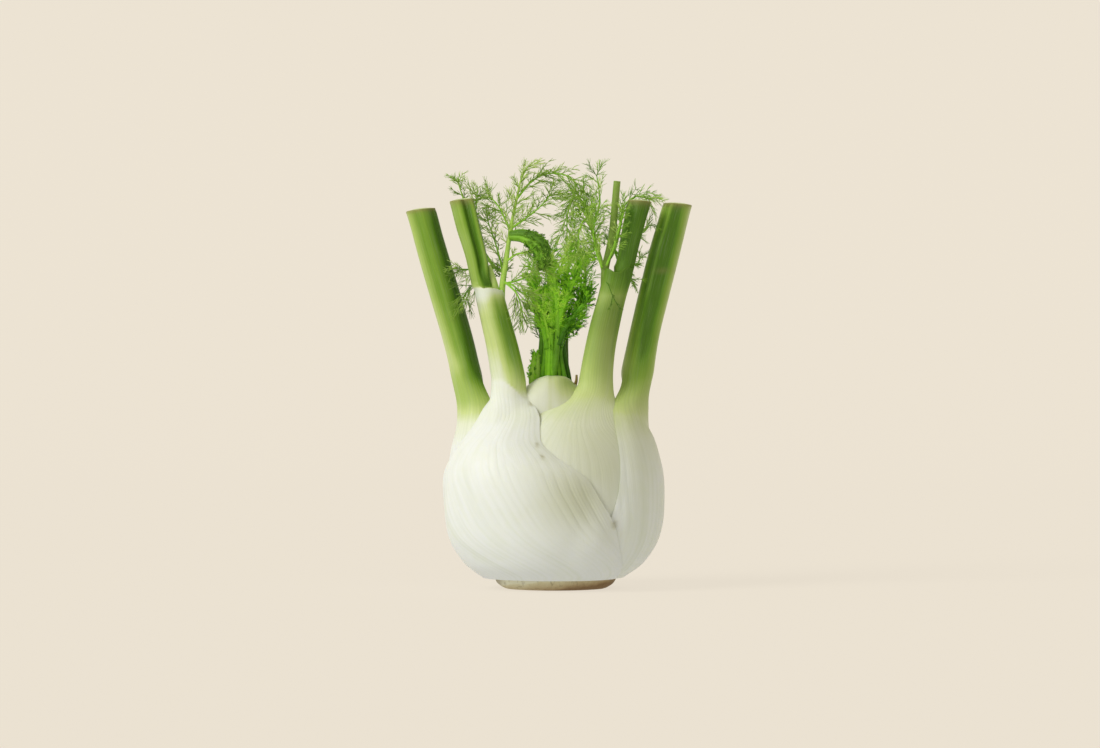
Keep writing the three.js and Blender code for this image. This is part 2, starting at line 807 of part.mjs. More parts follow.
const plug = loft([
  oval(NEST.x, NEST.y, NEST.floor + GAP, NEST.halfWidth - GAP, NEST.halfDepth - GAP, 16),
  oval(NEST.x, NEST.y, NEST.filledTo, NEST.halfWidth - GAP, NEST.halfDepth - GAP, 16),
]);
const planted = [
  { name: "shoots_centre", limbs: SHOOT_FEATHERS, seed: 11, root: [toSolid(plug)] },
  { name: "fronds_left", limbs: LEFT_FEATHERS, seed: 23, root: [] },
  { name: "fronds_right", limbs: RIGHT_FEATHERS, seed: 37, root: [] },
].map((frond) => ({ ...frond, limbs: frond.limbs.map((each) => plant(frond.name, each)) }));
for (const { name, limbs, seed, root } of planted) {
  const random = randomFrom(seed);
  const grown = limbs.flatMap((each) => grow(each, random));
  addPiece(name, toGeometry(fuse([...root, ...grown])), COLOURS.frond);
}

export default fennel;
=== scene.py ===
# %% [markdown]
# # A trimmed fennel bulb
# Florence fennel is a bundle of leaves. Their swollen, ribbed bases wrap round one another and make the
# white bulb, each base draws together into a round green stalk that the grower cuts to a hand's length,
# and a few feathery young leaves are left standing between the stalks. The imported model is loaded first
# as a fixed frame, because every piece below has to sit exactly where its solid does.

import math

import bpy
import numpy as np
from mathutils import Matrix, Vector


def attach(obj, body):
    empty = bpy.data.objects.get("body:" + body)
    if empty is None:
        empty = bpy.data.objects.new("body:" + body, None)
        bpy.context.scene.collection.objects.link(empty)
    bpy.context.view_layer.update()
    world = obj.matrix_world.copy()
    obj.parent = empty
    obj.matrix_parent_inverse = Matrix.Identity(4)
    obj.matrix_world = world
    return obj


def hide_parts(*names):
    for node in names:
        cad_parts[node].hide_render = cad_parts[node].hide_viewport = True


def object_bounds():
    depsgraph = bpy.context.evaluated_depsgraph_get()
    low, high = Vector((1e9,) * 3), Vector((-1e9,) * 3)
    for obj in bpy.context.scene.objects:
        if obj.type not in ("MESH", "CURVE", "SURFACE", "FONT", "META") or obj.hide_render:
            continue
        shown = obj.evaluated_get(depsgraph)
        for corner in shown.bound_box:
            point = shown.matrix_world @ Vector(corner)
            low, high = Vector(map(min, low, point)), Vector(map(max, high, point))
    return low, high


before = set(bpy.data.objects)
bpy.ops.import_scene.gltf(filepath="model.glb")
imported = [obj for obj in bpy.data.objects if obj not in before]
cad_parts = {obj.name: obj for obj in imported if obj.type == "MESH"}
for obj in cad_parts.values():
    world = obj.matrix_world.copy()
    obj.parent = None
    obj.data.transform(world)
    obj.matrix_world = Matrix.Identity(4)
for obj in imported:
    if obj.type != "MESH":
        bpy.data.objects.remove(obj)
cad_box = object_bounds()
MM = 0.001
print("packed box, mm", [[round(v / MM, 1) for v in corner] for corner in cad_box])

# %% [markdown]
# # The camera
# The bulb is seen level, from straight in front and from well back, so that the stalks keep their true
# lean. A long lens does that. It could be an orthographic camera, but a real lens sees the cut tops from
# a little below, as the eye would.

# %% Camera
FRAME_WIDTH = 0.506  # metres across the view, at the bulb
LENS, SENSOR = 100, 36  # millimetres
AIM = (-0.0023, 0, 0.0984)  # the point looked at

camera_data = bpy.data.cameras.new("camera")
camera_data.lens, camera_data.sensor_width = LENS, SENSOR
camera = bpy.data.objects.new("camera", camera_data)
camera.location = (AIM[0], -FRAME_WIDTH * LENS / SENSOR, AIM[2])
camera.rotation_euler = (math.pi / 2, 0, 0)
bpy.context.collection.objects.link(camera)
bpy.context.scene.camera = camera
print("camera stands off", round(-camera.location.y, 3), "m")

# %% [markdown]
# # Writing a finish
# A finish is a tree of shader nodes. Placing nodes by hand is slow to read, so two small classes turn it
# into ordinary Python. `Wire` holds a socket and knows arithmetic, so that `1 - mask` adds the Math node
# it needs. `Nodes` makes any other node from its type, its settings and what goes into its sockets, in
# the tree of a material or of the sky.

# %% Wires and nodes
class Wire:
    """A value on its way between two nodes. Arithmetic on it adds Math nodes."""

    def __init__(self, nodes, socket):
        self.nodes, self.socket = nodes, socket

    def __add__(self, other):
        return self.nodes.math("ADD", self, other)

    def __sub__(self, other):
        return self.nodes.math("SUBTRACT", self, other)

    def __rsub__(self, other):
        return self.nodes.math("SUBTRACT", other, self)

    def __mul__(self, other):
        return self.nodes.math("MULTIPLY", self, other)

    __radd__, __rmul__ = __add__, __mul__

    def between(self, low, high):
        """0 at low, 1 at high and smooth in between."""
        settings = {"interpolation_type": "SMOOTHSTEP"}
        return self.nodes.node("ShaderNodeMapRange", settings, {"Value": self, 1: low, 2: high})


class Nodes:
    """A node tree that is written as expressions."""

    def __init__(self, tree):
        self.tree = tree

    def plug(self, socket, value):
        if isinstance(value, Wire):
            self.tree.links.new(value.socket, socket)
        else:
            socket.default_value = value

    def node(self, kind, settings=None, inputs=None, output=0):
        made = self.tree.nodes.new(kind)
        for key, value in (settings or {}).items():
            if key == "stops":
                elements = made.color_ramp.elements
                for place, _ in value[1:-1]:
                    elements.new(place)
                for element, (place, colour) in zip(elements, value):
                    element.position, element.color = place, (*colour, 1)
            else:
                setattr(made, key, value)
        for key, value in (inputs or {}).items():
            self.plug(made.inputs[key], value)
        return Wire(self, made.outputs[output])

    def math(self, operation, *values):
        return self.node("ShaderNodeMath", {"operation": operation}, dict(enumerate(values)))

    def blend(self, mask, first, second):
        """The first colour where the mask is 0 and the second where it is 1."""
        first, second = ((*c, 1) if isinstance(c, tuple) else c for c in (first, second))
        return self.node("ShaderNodeMix", {"data_type": "RGBA"}, {0: mask, 6: first, 7: second}, 2)


print("node trees are written with Wire and Nodes")

# %% [markdown]
# A finish for a piece is such a tree inside a material, round one Principled surface. What is the same all
# over the piece is set on the surface when the finish is made. What changes from spot to spot is plugged
# in by `coat`. Between the two stand the usual ingredients: numbers that the mesh carries, the place of a
# spot, noise, ramps and bumps.

# %% Finishes
class Finish(Nodes):
    """One procedural material."""

    def __init__(self, name, **constants):
        self.material = bpy.data.materials.new(name)
        self.material.use_nodes = True
        super().__init__(self.material.node_tree)
        self.tree.nodes.clear()
        self.surface = self.tree.nodes.new("ShaderNodeBsdfPrincipled")
        output = self.tree.nodes.new("ShaderNodeOutputMaterial")
        self.tree.links.new(self.surface.outputs[0], output.inputs["Surface"])
        self.coat(**constants)

    def coat(self, **values):
        for name, value in values.items():
            self.plug(self.surface.inputs[name.replace("_", " ")], value)

    def value(self, name):
        """A number that the mesh carries on its points."""
        return self.node("ShaderNodeAttribute", {"attribute_name": name}, output="Fac")

    def place(self):
        """Where a point is, in metres."""
        return self.node("ShaderNodeTexCoord", output="Object")

    def part(self, vector, axis):
        """One of the three numbers of a vector."""
        return self.node("ShaderNodeSeparateXYZ", None, {"Vector": vector}, axis)

    def triple(self, x, y, z):
        return self.node("ShaderNodeCombineXYZ", None, {"X": x, "Y": y, "Z": z})

    def noise(self, vector, size, detail=3, roughness=0.55):
        """Soft noise with blotches of about that size, in the units of the vector."""
        inputs = {"Vector": vector, "Scale": 1 / size, "Detail": detail, "Roughness": roughness}
        return self.node("ShaderNodeTexNoise", {"noise_dimensions": "3D"}, inputs)

    def ramp(self, value, *stops):
        return self.node("ShaderNodeValToRGB", {"stops": stops}, {"Fac": value})

    def bump(self, height, distance, strength):
        inputs = {"Height": height, "Distance": distance, "Strength": strength}
        return self.node("ShaderNodeBump", None, inputs)


print("materials are written with Finish")

# %% [markdown]
# # Making a piece
# All pieces of the bulb are skins computed point by point, in millimetres, so that their numbers can be
# read beside a ruler. Modifiers could shape them too, but a point that is computed can also carry what its
# finish needs to know, such as the rib it lies on. One helper scales the points to metres, hangs the
# finish on them, stores those numbers, hides the solid that the piece stands for and hangs the piece on
# the root body.

# %% Piece helpers
def add_piece(name, node, points, faces, finish, values):
    mesh = bpy.data.meshes.new(name)
    mesh.from_pydata((np.asarray(points) * MM).tolist(), [], faces)
    for key, numbers in values.items():
        layer = mesh.attributes.new(key, "FLOAT", "POINT")
        layer.data.foreach_set("value", np.asarray(numbers, np.float32))
    mesh.polygons.foreach_set("use_smooth", [True] * len(mesh.polygons))
    mesh.materials.append(finish.material)
    mesh.update()
    piece = bpy.data.objects.new(name, mesh)
    bpy.context.collection.objects.link(piece)
    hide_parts(node)
    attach(piece, "root")
    triangles = sum(len(p.vertices) - 2 for p in mesh.polygons)
    low, high = np.min(points, axis=0), np.max(points, axis=0)
    print(f"{name}: {triangles} triangles, from {low.round(1)} to {high.round(1)} mm")


def skin_faces(rows, columns):
    """Faces of a tube of rings that run anticlockwise as seen from above, lowest ring first."""
    row, column = np.meshgrid(np.arange(rows - 1), np.arange(columns), indexing="ij")
    first, second = row * columns + column, row * columns + (column + 1) % columns
    return np.stack([first, second, second + columns, first + columns], -1).reshape(-1, 4).tolist()


def cap_faces(start, columns, centre, up):
    """A fan from a ring to the point in its middle."""
    pairs = [(start + i, start + (i + 1) % columns) for i in range(columns)]
    return [(a, b, centre) if up else (b, a, centre) for a, b in pairs]


def closed_skin(rings, foot, top):
    """Points and faces of a stack of rings that closes to a middle point at each end."""
    rows, columns = len(rings), len(rings[0])
    faces = skin_faces(rows, columns)
    faces += cap_faces(0, columns, rows * columns, False)
    faces += cap_faces((rows - 1) * columns, columns, rows * columns + 1, True)
    return np.concatenate([*rings, [foot, top]]), faces


print("two rings of eight points and a cap make", len(skin_faces(2, 8) + cap_faces(8, 8, 16, True)), "faces")

# %% [markdown]
# # Curves through a few measured heights
# The bulb was measured at a handful of heights. The outline could be a curve with handles, but a table
# of measures is easier to check. It is read at any height along smooth cubic curves, so the outline has
# no corners. The same tables shape the solids, so the finer skins made here follow them everywhere.

# %% Smooth tables
def smooth_table(rows):
    rows = np.array(rows, float)
    before, after = rows[[0, *range(len(rows) - 1)]], rows[[*range(1, len(rows)), -1]]
    slopes = (after - before)[:, 1:] / (after - before)[:, :1]
    heights, values = rows[:, 0], rows[:, 1:]

    def read(height):
        h = np.clip(np.asarray(height, float), heights[0], heights[-1])
        i = np.clip(np.searchsorted(heights, h) - 1, 0, len(heights) - 2)
        span = (heights[i + 1] - heights[i])[..., None]
        s = (h - heights[i])[..., None] / span
        keep = 2 * s**3 - 3 * s**2 + 1
        bend = (s**3 - 2 * s**2 + s) * slopes[i] + (s**3 - s**2) * slopes[i + 1]
        return keep * values[i] + (1 - keep) * values[i + 1] + span * bend

    return read


def smoothstep(x, low, high):
    t = np.clip((x - low) / (high - low), 0, 1)
    return t * t * (3 - 2 * t)


def lerp(first, second, share):
    return first + (second - first) * share


def ripple(x, y, seed, waves=6):
    """Gentle unevenness between -1 and 1 over two directions."""
    dice = np.random.default_rng(seed)
    total = 0
    for _ in range(waves):
        turn, rate, shift = dice.uniform(0, math.tau), dice.uniform(0.6, 1.6), dice.uniform(0, math.tau)
        total = total + np.sin((x * math.cos(turn) + y * math.sin(turn)) * rate + shift)
    return total / waves


print("halfway between two rows of a table:", smooth_table([[0, 1], [10, 3]])(5))

# %% [markdown]
# The heart is the first thing read from such tables. Under the big leaves it is a stack of level ovals,
# centred from front to back. Its domed top leans forward a little, so each oval there has its own middle.

# %% The heart in numbers
# Under the leaves: height, middle x, half width, half depth.
BODY = smooth_table([
    [0, 0, 18, 16], [5, 0, 25.6, 21.4], [10, 0.3, 32.6, 26.8], [15, 0.5, 36.6, 29.6], [22, 0.5, 40.2, 31.7],
    [31, 0.2, 42.7, 33], [42, -0.4, 43.8, 33], [53, -1, 44.1, 31], [64, -1.2, 42.3, 27],
    [74, -0.9, 40.1, 22], [84, -0.2, 39.2, 17], [100, 0, 38.8, 13],
])
# Its domed top: height, middle x, middle y, half width, half depth.
CROWN = smooth_table([
    [64, -1.2, 0, 42.3, 27], [72, -1.2, 0, 36.5, 23.5], [80, -1.2, 0, 28.5, 19],
    [86, -1.2, -1, 21.5, 16.6], [91, -1.2, -2.8, 14.8, 13.6], [95, -0.9, -4.8, 9.8, 10],
    [97.3, -0.1, -6.2, 6.8, 7], [98.4, 0.8, -7, 4, 4],
])
print("widest half width of the heart", round(float(BODY(np.linspace(0, 100, 200))[:, 1].max()), 1), "mm")

# %% [markdown]
# # The four leaves in numbers
# Bearings are degrees from the front round to the right. Each leaf is known by its `margins` (height and
# the bearings of its left and right edge) and by the round of its `stalk` (height, middle x and y, half
# breadth and half depth). `blend` is where one turns into the other, `thickness` that of the coat in its
# middle, `bearing` where the outside of the stalk faces, and `top` the height of the cut and its tilt. A
# stalk that carries a young leaf has a `mouth`: the height of its rim, where the thinner stalk goes on, and
# how deep it is. `flutes` are channels along the stalk: the bearing, the half width in degrees, the depth
# in millimetres (less than nothing for a ridge) and the height from which they run. `twist` says by how
# many degrees the ribs swing round at a height, and `collar` where the pale sheath still laps over the
# front of its stalk.
#
# The rest is for the colour: `green` by height, how much paler the left side of the stalk is low down and
# high up (`side_tint_and_light`), partly its own colour and partly painted light on the side the light
# falls on, how much paler its flanks are (`painted_flank_light`), a painted sheen and painted light, the
# height of the brown ring of a node (`node_scar`), and `thin` patches of painted shade where
# the coat lies in shade: x, height, half width, half height and strength.

# %% Leaf tables
LEAVES = [
    {
        "name": "leaf_right_inner",
        "thickness": 3.4, "bearing": 18, "blend": (80, 101), "top": (177.6, -0.06),
        "margins": [
            [5, -78, 160], [20, -74, 155], [41, -60, 138], [52, -50, 122], [64, -36, 98],
            [75, -17, 65], [84, -4, 52], [94, 10, 50],
        ],
        "stalk": [
            [86, 18.3, -8.5, 9.1, 7.4], [97, 18.9, -8, 8.1, 6.9], [109, 20.5, -7.5, 7.5, 6.6],
            [121, 22.9, -7, 7.3, 6.4], [133, 25.9, -6.5, 7, 6.2], [143.5, 28.7, -6, 7.3, 6],
            [145.6, 29.1, -6, 7.1, 5.9], [146.6, 31.4, -6, 5.1, 5], [160, 34.5, -5.5, 5.1, 5],
            [178, 38.7, -5, 5.8, 5.4],
        ],
        "mouth": (145.2, 147, 4.5),
        "flutes": [(-30, 16, 0.5, 148), (60, 14, 0.4, 100)],
        "thin": [(22, 60, 20, 26, 0.62), (29, 131, 8, 7, 0.3), (23, 114, 8, 26, 0.45)],
        "green": [(44, 0.02), (62, 0.07), (76, 0.12), (86, 0.24), (97, 0.48), (105, 0.6), (113, 0.7),
                  (121, 0.84), (127, 0.86), (131.5, 0.72), (134, 0.66), (137.5, 0.86), (143, 0.98),
                  (178, 1.0)],
        "side_tint_and_light": (0.04, 0.04), "painted_flank_light": 0.1,
    },
    {
        "name": "leaf_left_outer",
        "thickness": 4.6, "bearing": -90, "blend": (70, 101), "top": (174, 0.13),
        "margins": [
            [5, -222, 30], [20, -216, 20], [31, -207, 9], [41, -196, -1], [52, -182, -13],
            [64, -168, -27], [75, -148, -38], [86, -126, -43], [96, -110, -52],
        ],
        "stalk": [
            [86, -38.6, 3, 7.6, 8.7], [101, -41.6, 3, 6.8, 7.4], [115, -45, 3, 6.6, 7.4],
            [133, -50.1, 3, 6.5, 7.4], [156, -57, 3, 6.4, 7.3], [175, -62.3, 3, 6.2, 7],
        ],
        "flutes": [(-20, 15, 0.5, 100), (60, 20, 0.6, 96), (-62, 10, -0.3, 105)],
        "green": [(64, 0.0), (76, 0.12), (86, 0.5), (97, 0.8), (112, 0.85), (135, 0.8), (178, 0.78)],
        "side_tint_and_light": (0.42, 0.2), "painted_flank_light": 0.06,
    },
    {
        "name": "leaf_right_outer",
        "thickness": 4.2, "bearing": 90, "blend": (79, 101), "top": (176.6, -0.07),
        "margins": [
            [5, 20, 222], [20, 25, 208], [31, 31, 194], [43, 37, 178], [55, 40, 164], [66, 41, 150],
            [77, 40, 132], [87, 38.5, 114], [96, 50, 102],
        ],
        "stalk": [
            [86, 37, 3, 7.6, 8.3], [97, 37.8, 3, 7.1, 7.9], [115, 41, 3, 6.6, 7.3],
            [133, 45.2, 3, 6.5, 7.4], [156, 50.9, 3, 6.5, 7.4], [177, 56.7, 3, 6.2, 6.8],
        ],
        "flutes": [(-26, 9, -0.55, 128), (-52, 16, 0.4, 100), (8, 18, 0.5, 100)], "node_scar": 146,
        "thin": [(37, 70, 12, 26, 0.45)],
        "green": [(58, 0.02), (68, 0.08), (79, 0.24), (88, 0.5),
                  (97, 0.78), (112, 0.94), (160, 1.0), (178, 0.84)],
        "side_tint_and_light": (0.08, -0.1), "painted_flank_light": 0.5,
    },
    {
        "name": "leaf_left_inner",
        "thickness": 4.4, "bearing": -28, "blend": (80, 101), "top": (178, 0.1),
        "margins": [
            [5, -104, 61], [12, -108, 48], [20, -110, 39], [31, -107, 33], [41, -101, 26],
            [52, -90, 18], [60, -78, 4], [67, -67, -6], [73, -59, -8], [79, -53, -9], [85, -50, -13],
            [90, -48, -17], [96, -45, -16],
        ],
        "stalk": [
            [86, -21.3, -9.5, 10.3, 7.6], [97, -21.6, -8.5, 8.7, 7.2], [110, -23.9, -8, 7.9, 7],
            [121, -26.6, -7.5, 7.5, 6.9], [133, -29.6, -7, 7.2, 6.6], [137.4, -30.5, -7, 7, 6.4],
            [138.6, -33.2, -7, 5.3, 4.8], [152, -36, -6.5, 5.6, 4.8], [165, -39.6, -6, 6.1, 4.9],
            [178.5, -42.9, -5.5, 6, 5],
        ],
        "mouth": (137, 139, 4),
        "twist": [[7, -54], [23, -22], [41, -8], [57, 0]],
        "flutes": [(10, 15, 1.5, 139), (42, 16, -1.2, 139), (26, 22, 0.5, 98)],
        "collar": {"low": 88.5, "high": 95.5, "start": 0.02, "end": 0.55, "thick": 0.45},
        "thin": [(10, 44, 20, 17, 0.8), (1, 64, 13, 13, 0.4)],
        "green": [(76, 0.0), (86, 0.06), (100, 0.35), (112, 0.5), (124, 0.5),
                  (130, 0.36), (134.5, 0.14), (137, 0.1), (139, 0.7), (178, 0.76)],
        "side_tint_and_light": (0.17, 0.1), "painted_flank_light": 0.04,
    },
]
for leaf in LEAVES:
    leaf["margins"] = smooth_table(leaf["margins"])
    leaf["stalk"] = smooth_table(leaf["stalk"])
    leaf["twist"] = smooth_table(leaf.get("twist", [[0, 0], [1, 0]]))
print(len(LEAVES), "leaves, innermost first:", ", ".join(leaf["name"] for leaf in LEAVES))

# %% [markdown]
# # How the coats lie on one another
# A leaf base is thick in the middle and thin at its margins, and what lies on top of it follows it. So the
# bulb's surface at any bearing and height is the heart plus the thickness of each leaf up to there.
# Building it that way, instead of cutting meshes from each other, keeps every coat's surface smooth.

# %% Coats
MARGIN = 1.8  # thickness of a leaf near its margin
FADE = 20  # degrees over which a hidden margin is smoothed out in the leaf above it


def wrap_degrees(angle):
    return (angle + 180) % 360 - 180


def foot_thinning(z):
    """A coat has 0.85 of its thickness at the foot and all of it 25 mm up."""
    return lerp(0.85, 1, smoothstep(z, 5.4, 25))


def cover(leaf, bearing, z):
    """How much a leaf adds to the bulb at a bearing and height, with its hidden margins faded out."""
    left, right = np.moveaxis(leaf["margins"](z), -1, 0)
    half = (right - left) / 2
    across = np.abs(wrap_degrees(bearing - (left + right) / 2)) / half
    swell = (leaf["thickness"] - MARGIN) * np.maximum(0, 1 - across**2)
    beyond = np.maximum(0, across - 1) * half
    return (MARGIN * (1 - smoothstep(beyond, 0, FADE)) + swell) * foot_thinning(z)


def on_body(bearing, z, out):
    middle, half_width, half_depth = np.moveaxis(BODY(z), -1, 0)
    angle = np.radians(bearing)
    x = middle + (half_width + out) * np.sin(angle)
    return np.stack([x, -(half_depth + out) * np.cos(angle), z + 0 * x], -1)


def on_stalk(leaf, turn, z, out):
    """A point on a stalk's round; turn 0 faces outwards."""
    x, y, half_across, half_deep = np.moveaxis(leaf["stalk"](z), -1, 0)
    facing, turn = np.radians(leaf["bearing"]), np.radians(turn)
    sideways, outwards = np.sin(turn) * (half_across + out), np.cos(turn) * (half_deep + out)
    return np.stack([
        x + sideways * np.cos(facing) + outwards * np.sin(facing),
        y + sideways * np.sin(facing) - outwards * np.cos(facing),
        z + 0 * sideways,
    ], -1)


front = sum(float(cover(leaf, 0, 40)) for leaf in LEAVES)
print("at the front, 40 mm up, the coats lie", round(front, 1), "mm thick on the heart")

# %% [markdown]
# # Ribs
# The veins of a leaf run from the stem plate up into its stalk and stand out as low rounded ribs, about
# four millimetres apart on the belly and one or two on the stalk. They could be left to a bump map, but
# they show in the outline and catch the light from the side, so they are real relief. On the front leaf
# they sweep sideways as they go down, because that leaf wraps round askew.

# %% Rib relief
RIB_PITCH = 5.0  # degrees between two ribs round the belly
MATCH = 57  # height at which ribs counted along the belly and up the stalk agree


def rib_count(leaf, across, bearing, z):
    """Which rib a point lies on; whole numbers are crests."""
    left, right = leaf["margins"](MATCH)
    up_stalk = across * (right - left) / 2 / RIB_PITCH
    twisted = bearing + leaf["twist"](z)[..., 0] - (left + right) / 2
    count = lerp(up_stalk, twisted / RIB_PITCH, 1 - smoothstep(z, 45, 75))
    return count + 0.8 * ripple(count * 0.6, z * 0.04, 3)


def rib_height(count, z, seed):
    """Millimetres that the ribs add: strong on the belly, fine on the stalk."""
    strength = 0.2 * smoothstep(z, 5, 14) * lerp(1, 0.35, smoothstep(z, 38, 66))
    uneven = np.clip(0.5 + 1.7 * ripple(count * 0.7, z * 0.04, seed), 0.05, 1.4)
    crest = np.abs(np.cos(math.pi * count)) ** 0.8 - 0.6
    fine = np.cos(math.tau * count * 3 + 1.3)
    return strength * uneven * (crest + fine * 0.1)


def flute_depth(leaf, bearing, z):
    """Channels are cut in, ridges stand out."""
    total = 0
    for middle, half, depth, start in leaf["flutes"]:
        ease = smoothstep(z, start, start + 10)
        total = total - depth * ease * np.exp(-(wrap_degrees(bearing - middle) / half) ** 2)
    return total


print("ribs stand out by up to", round(float(rib_height(np.linspace(-9, 9, 999), 30, 17).max()), 2), "mm")

# %% [markdown]
# # One ring of a leaf
# The sheath and the stalk of a leaf could be two meshes, but the join would show. So a leaf is one tube of
# level rings. Low down a ring is a thin crescent that hugs the coats inside it, and higher up the same ring
# is the whole round of the stalk, so one sheet of faces runs from the foot to the cut top without a seam.
# The columns of points crowd at the two margins, where the coat thins out to a rounded lip. Its inner side
# is sunk a little into the coat below, so that no dark slit opens there.

# %% Columns and heights
EDGE_COLUMNS = np.array([0, 0.0025, 0.006, 0.011, 0.017, 0.024])
OUTER = np.concatenate([-1 + EDGE_COLUMNS, np.linspace(-0.968, 0.968, 288), 1 - EDGE_COLUMNS[::-1]])
INNER = np.linspace(0.985, -0.985, 44)
ACROSS = np.concatenate([OUTER, INNER])  # from the left margin at -1 to the right one at 1, and back inside
IS_OUTER = np.arange(len(ACROSS)) < len(OUTER)
FOOT = 5.1  # the leaves start just above the cut stem
HEIGHTS = np.concatenate([
    [FOOT, 5.5, 6.1, 6.9, 7.9, 9.1, 10.5, 12], np.arange(13.6, 50, 1.6), np.arange(50.4, 104, 1.1),
])
print("a ring has", len(ACROSS), "points")

# %% Leaf rings
LIP = 0.14  # share of the margin's thickness left at the very edge
EDGE = 0.3  # millimetres that the edge still stands out
LIP_WIDTH = 11  # millimetres from the edge over which it thickens
SUNK = 0.15  # millimetres that the inner side is sunk into what it lies on
UNEVEN = 0.24  # millimetres by which a coat rises and falls between its ribs
BELLY = 42  # radius at which degrees along a margin are turned into millimetres
STALK_WRAP = 150  # degrees of a stalk that the sheath's outer face covers, each way


def collar(leaf, across, z):
    """Where the pale sheath still covers the stalk's front, from 0 to 1, and how far it stands out."""
    if "collar" not in leaf:
        return 0 * across, 0 * across
    low, high, start, end, thick = leaf["collar"].values()
    edge = lerp(start, end, (high - z) / (high - low))
    covered = smoothstep(edge - across, -0.05, 0.05) * (1 - smoothstep(z, high - 1, high + 1))
    return covered, thick * covered * smoothstep(z, low - 14, low)


def leaf_ring(index, z):
    """One level ring of a leaf and, for its finish, the rib and the bearing of each point."""
    leaf = LEAVES[index]
    left, right = leaf["margins"](z)
    half = (right - left) / 2
    bearing = (left + right) / 2 + ACROSS * half
    count = rib_count(leaf, ACROSS, bearing, z + 0 * ACROSS)
    uneven = UNEVEN * (ripple(bearing * 0.06, z * 0.11, 31 + index) - 1)
    relief = rib_height(count, z, 17 + index) + uneven

    below = sum((cover(each, bearing, z) for each in LEAVES[:index]), 0 * ACROSS)
    edge_gap = (1 - np.abs(ACROSS)) * np.radians(half) * BELLY
    lip = LIP + (1 - LIP) * np.sin(np.clip(edge_gap / LIP_WIDTH, 0, 1) * math.pi / 2)
    swell = (leaf["thickness"] - MARGIN) * (1 - ACROSS**2)
    coat = (MARGIN * lip + swell) * foot_thinning(z) + relief * np.clip(edge_gap / 3, 0, 1)
    sheath = on_body(bearing, z, below + np.where(IS_OUTER, np.maximum(coat, EDGE), -SUNK))

    turn = np.where(IS_OUTER, ACROSS * STALK_WRAP, 180 - ACROSS * (180 - STALK_WRAP))
    around = leaf["bearing"] + turn
    raised = (relief + collar(leaf, ACROSS, z)[1]) * IS_OUTER
    stalk = on_stalk(leaf, turn, z, raised - 0.1 + flute_depth(leaf, around, z))
    drawn = smoothstep(z, *leaf["blend"])
    return lerp(sheath, stalk, drawn), count, lerp(bearing, around, drawn)


print("the widest ring is", round(float(np.ptp(leaf_ring(3, 45)[0][:, 0])), 1), "mm across")

# %% [markdown]
# # The open mouth of a sheath
# Where a stalk carries a young leaf its sheath ends in an open mouth. The thinner stalk that comes out of
# it could be a mesh of its own, stuck into a cup, but on the plant the two are one leaf. So the rings turn
# in and down there, and go on up as that stalk. Where it touches the sheath there is no room to turn down,
# so the depth follows the gap between the two.

# %% Mouths
# The way from the rim to the thinner stalk: share of the way across, and share of the depth.
MOUTH_STEPS = [
    (0.03, -0.1), (0.1, -0.13), (0.17, -0.05), (0.22, 0.5), (0.35, 1), (0.9, 1), (1, 0.8), (1, 0.3),
]
OPEN_GAP = 2.5  # millimetres between sheath and stalk that let the mouth have its whole depth
RIM_WAVER, RIM_REACH = 1.8, 3.2  # how far the rim rises and falls, and over what height that fades


def mouth_rings(index):
    """Rings from the rim of a mouth in and down, and up again beside the thinner stalk."""
    rim, above, depth = LEAVES[index]["mouth"]
    (lower, count, bearing), (upper, _, _) = leaf_ring(index, rim), leaf_ring(index, above)
    middle = lower[:, :2].mean(0)
    gap = np.linalg.norm(lower[:, :2] - middle, axis=1) - np.linalg.norm(upper[:, :2] - middle, axis=1)
    open_by = np.clip(gap / OPEN_GAP, 0, 1)
    for share, down in MOUTH_STEPS:
        ring = lerp(lower, upper, share)
        ring[:, 2] -= down * depth * open_by
        yield ring, count, bearing


def waver_rim(points, rim, seed):
    """Makes the rim of a mouth uneven, as a torn sheath is."""
    near = np.exp(-((points[:, 2] - rim) / RIM_REACH) ** 2)
    points[:, 2] += RIM_WAVER * ripple(points[:, 0] * 0.7, points[:, 1] * 0.5, seed) * near


print("mouths:", [leaf["name"] for leaf in LEAVES if "mouth" in leaf])

# %% [markdown]
# # A leaf's mesh
# The rings are stacked and capped. One flat face could close the top, but a cut stalk has a soft edge that
# catches the light. So the rings close in small steps over a slightly domed cut, which is tilted as the
# knife left it. The foot of the crescent is closed with faces that zip its outer side to its inner side.

# %% Leaf meshes
# How the rings close over a cut: scale of the ring, and rise above the cut in millimetres.
CUT_STEPS = [(1, -0.5), (0.992, -0.1), (0.97, 0.1), (0.93, 0.1), (0.8, 0.3), (0.55, 0.6), (0.28, 0.75)]
CUT_DOME = 0.8


def zip_foot(outer_count, inner_count):
    """Faces across the foot of a crescent, from its outer columns to its inner ones."""
    total = outer_count + inner_count
    match = [total - 1 - round(i * (inner_count - 1) / (outer_count - 1)) for i in range(outer_count)]
    faces = []
    for i in range(outer_count - 1):
        corners = [i + 1, i, match[i], match[i + 1]]
        faces.append(tuple(corners if match[i] != match[i + 1] else corners[:3]))
    return faces


def body_rings(index):
    """All rings of a leaf below its cut."""
    top, mouth = LEAVES[index]["top"][0], LEAVES[index].get("mouth")
    if not mouth:
        return [leaf_ring(index, z) for z in [*HEIGHTS, *np.arange(104, top - 1, 2.2)]]
    rim, above, _ = mouth
    lower = [leaf_ring(index, z) for z in [*HEIGHTS, *np.arange(104, rim - 0.8, 2.0), rim]]
    return lower + list(mouth_rings(index)) + [leaf_ring(index, z) for z in np.arange(above, top - 1, 2.0)]


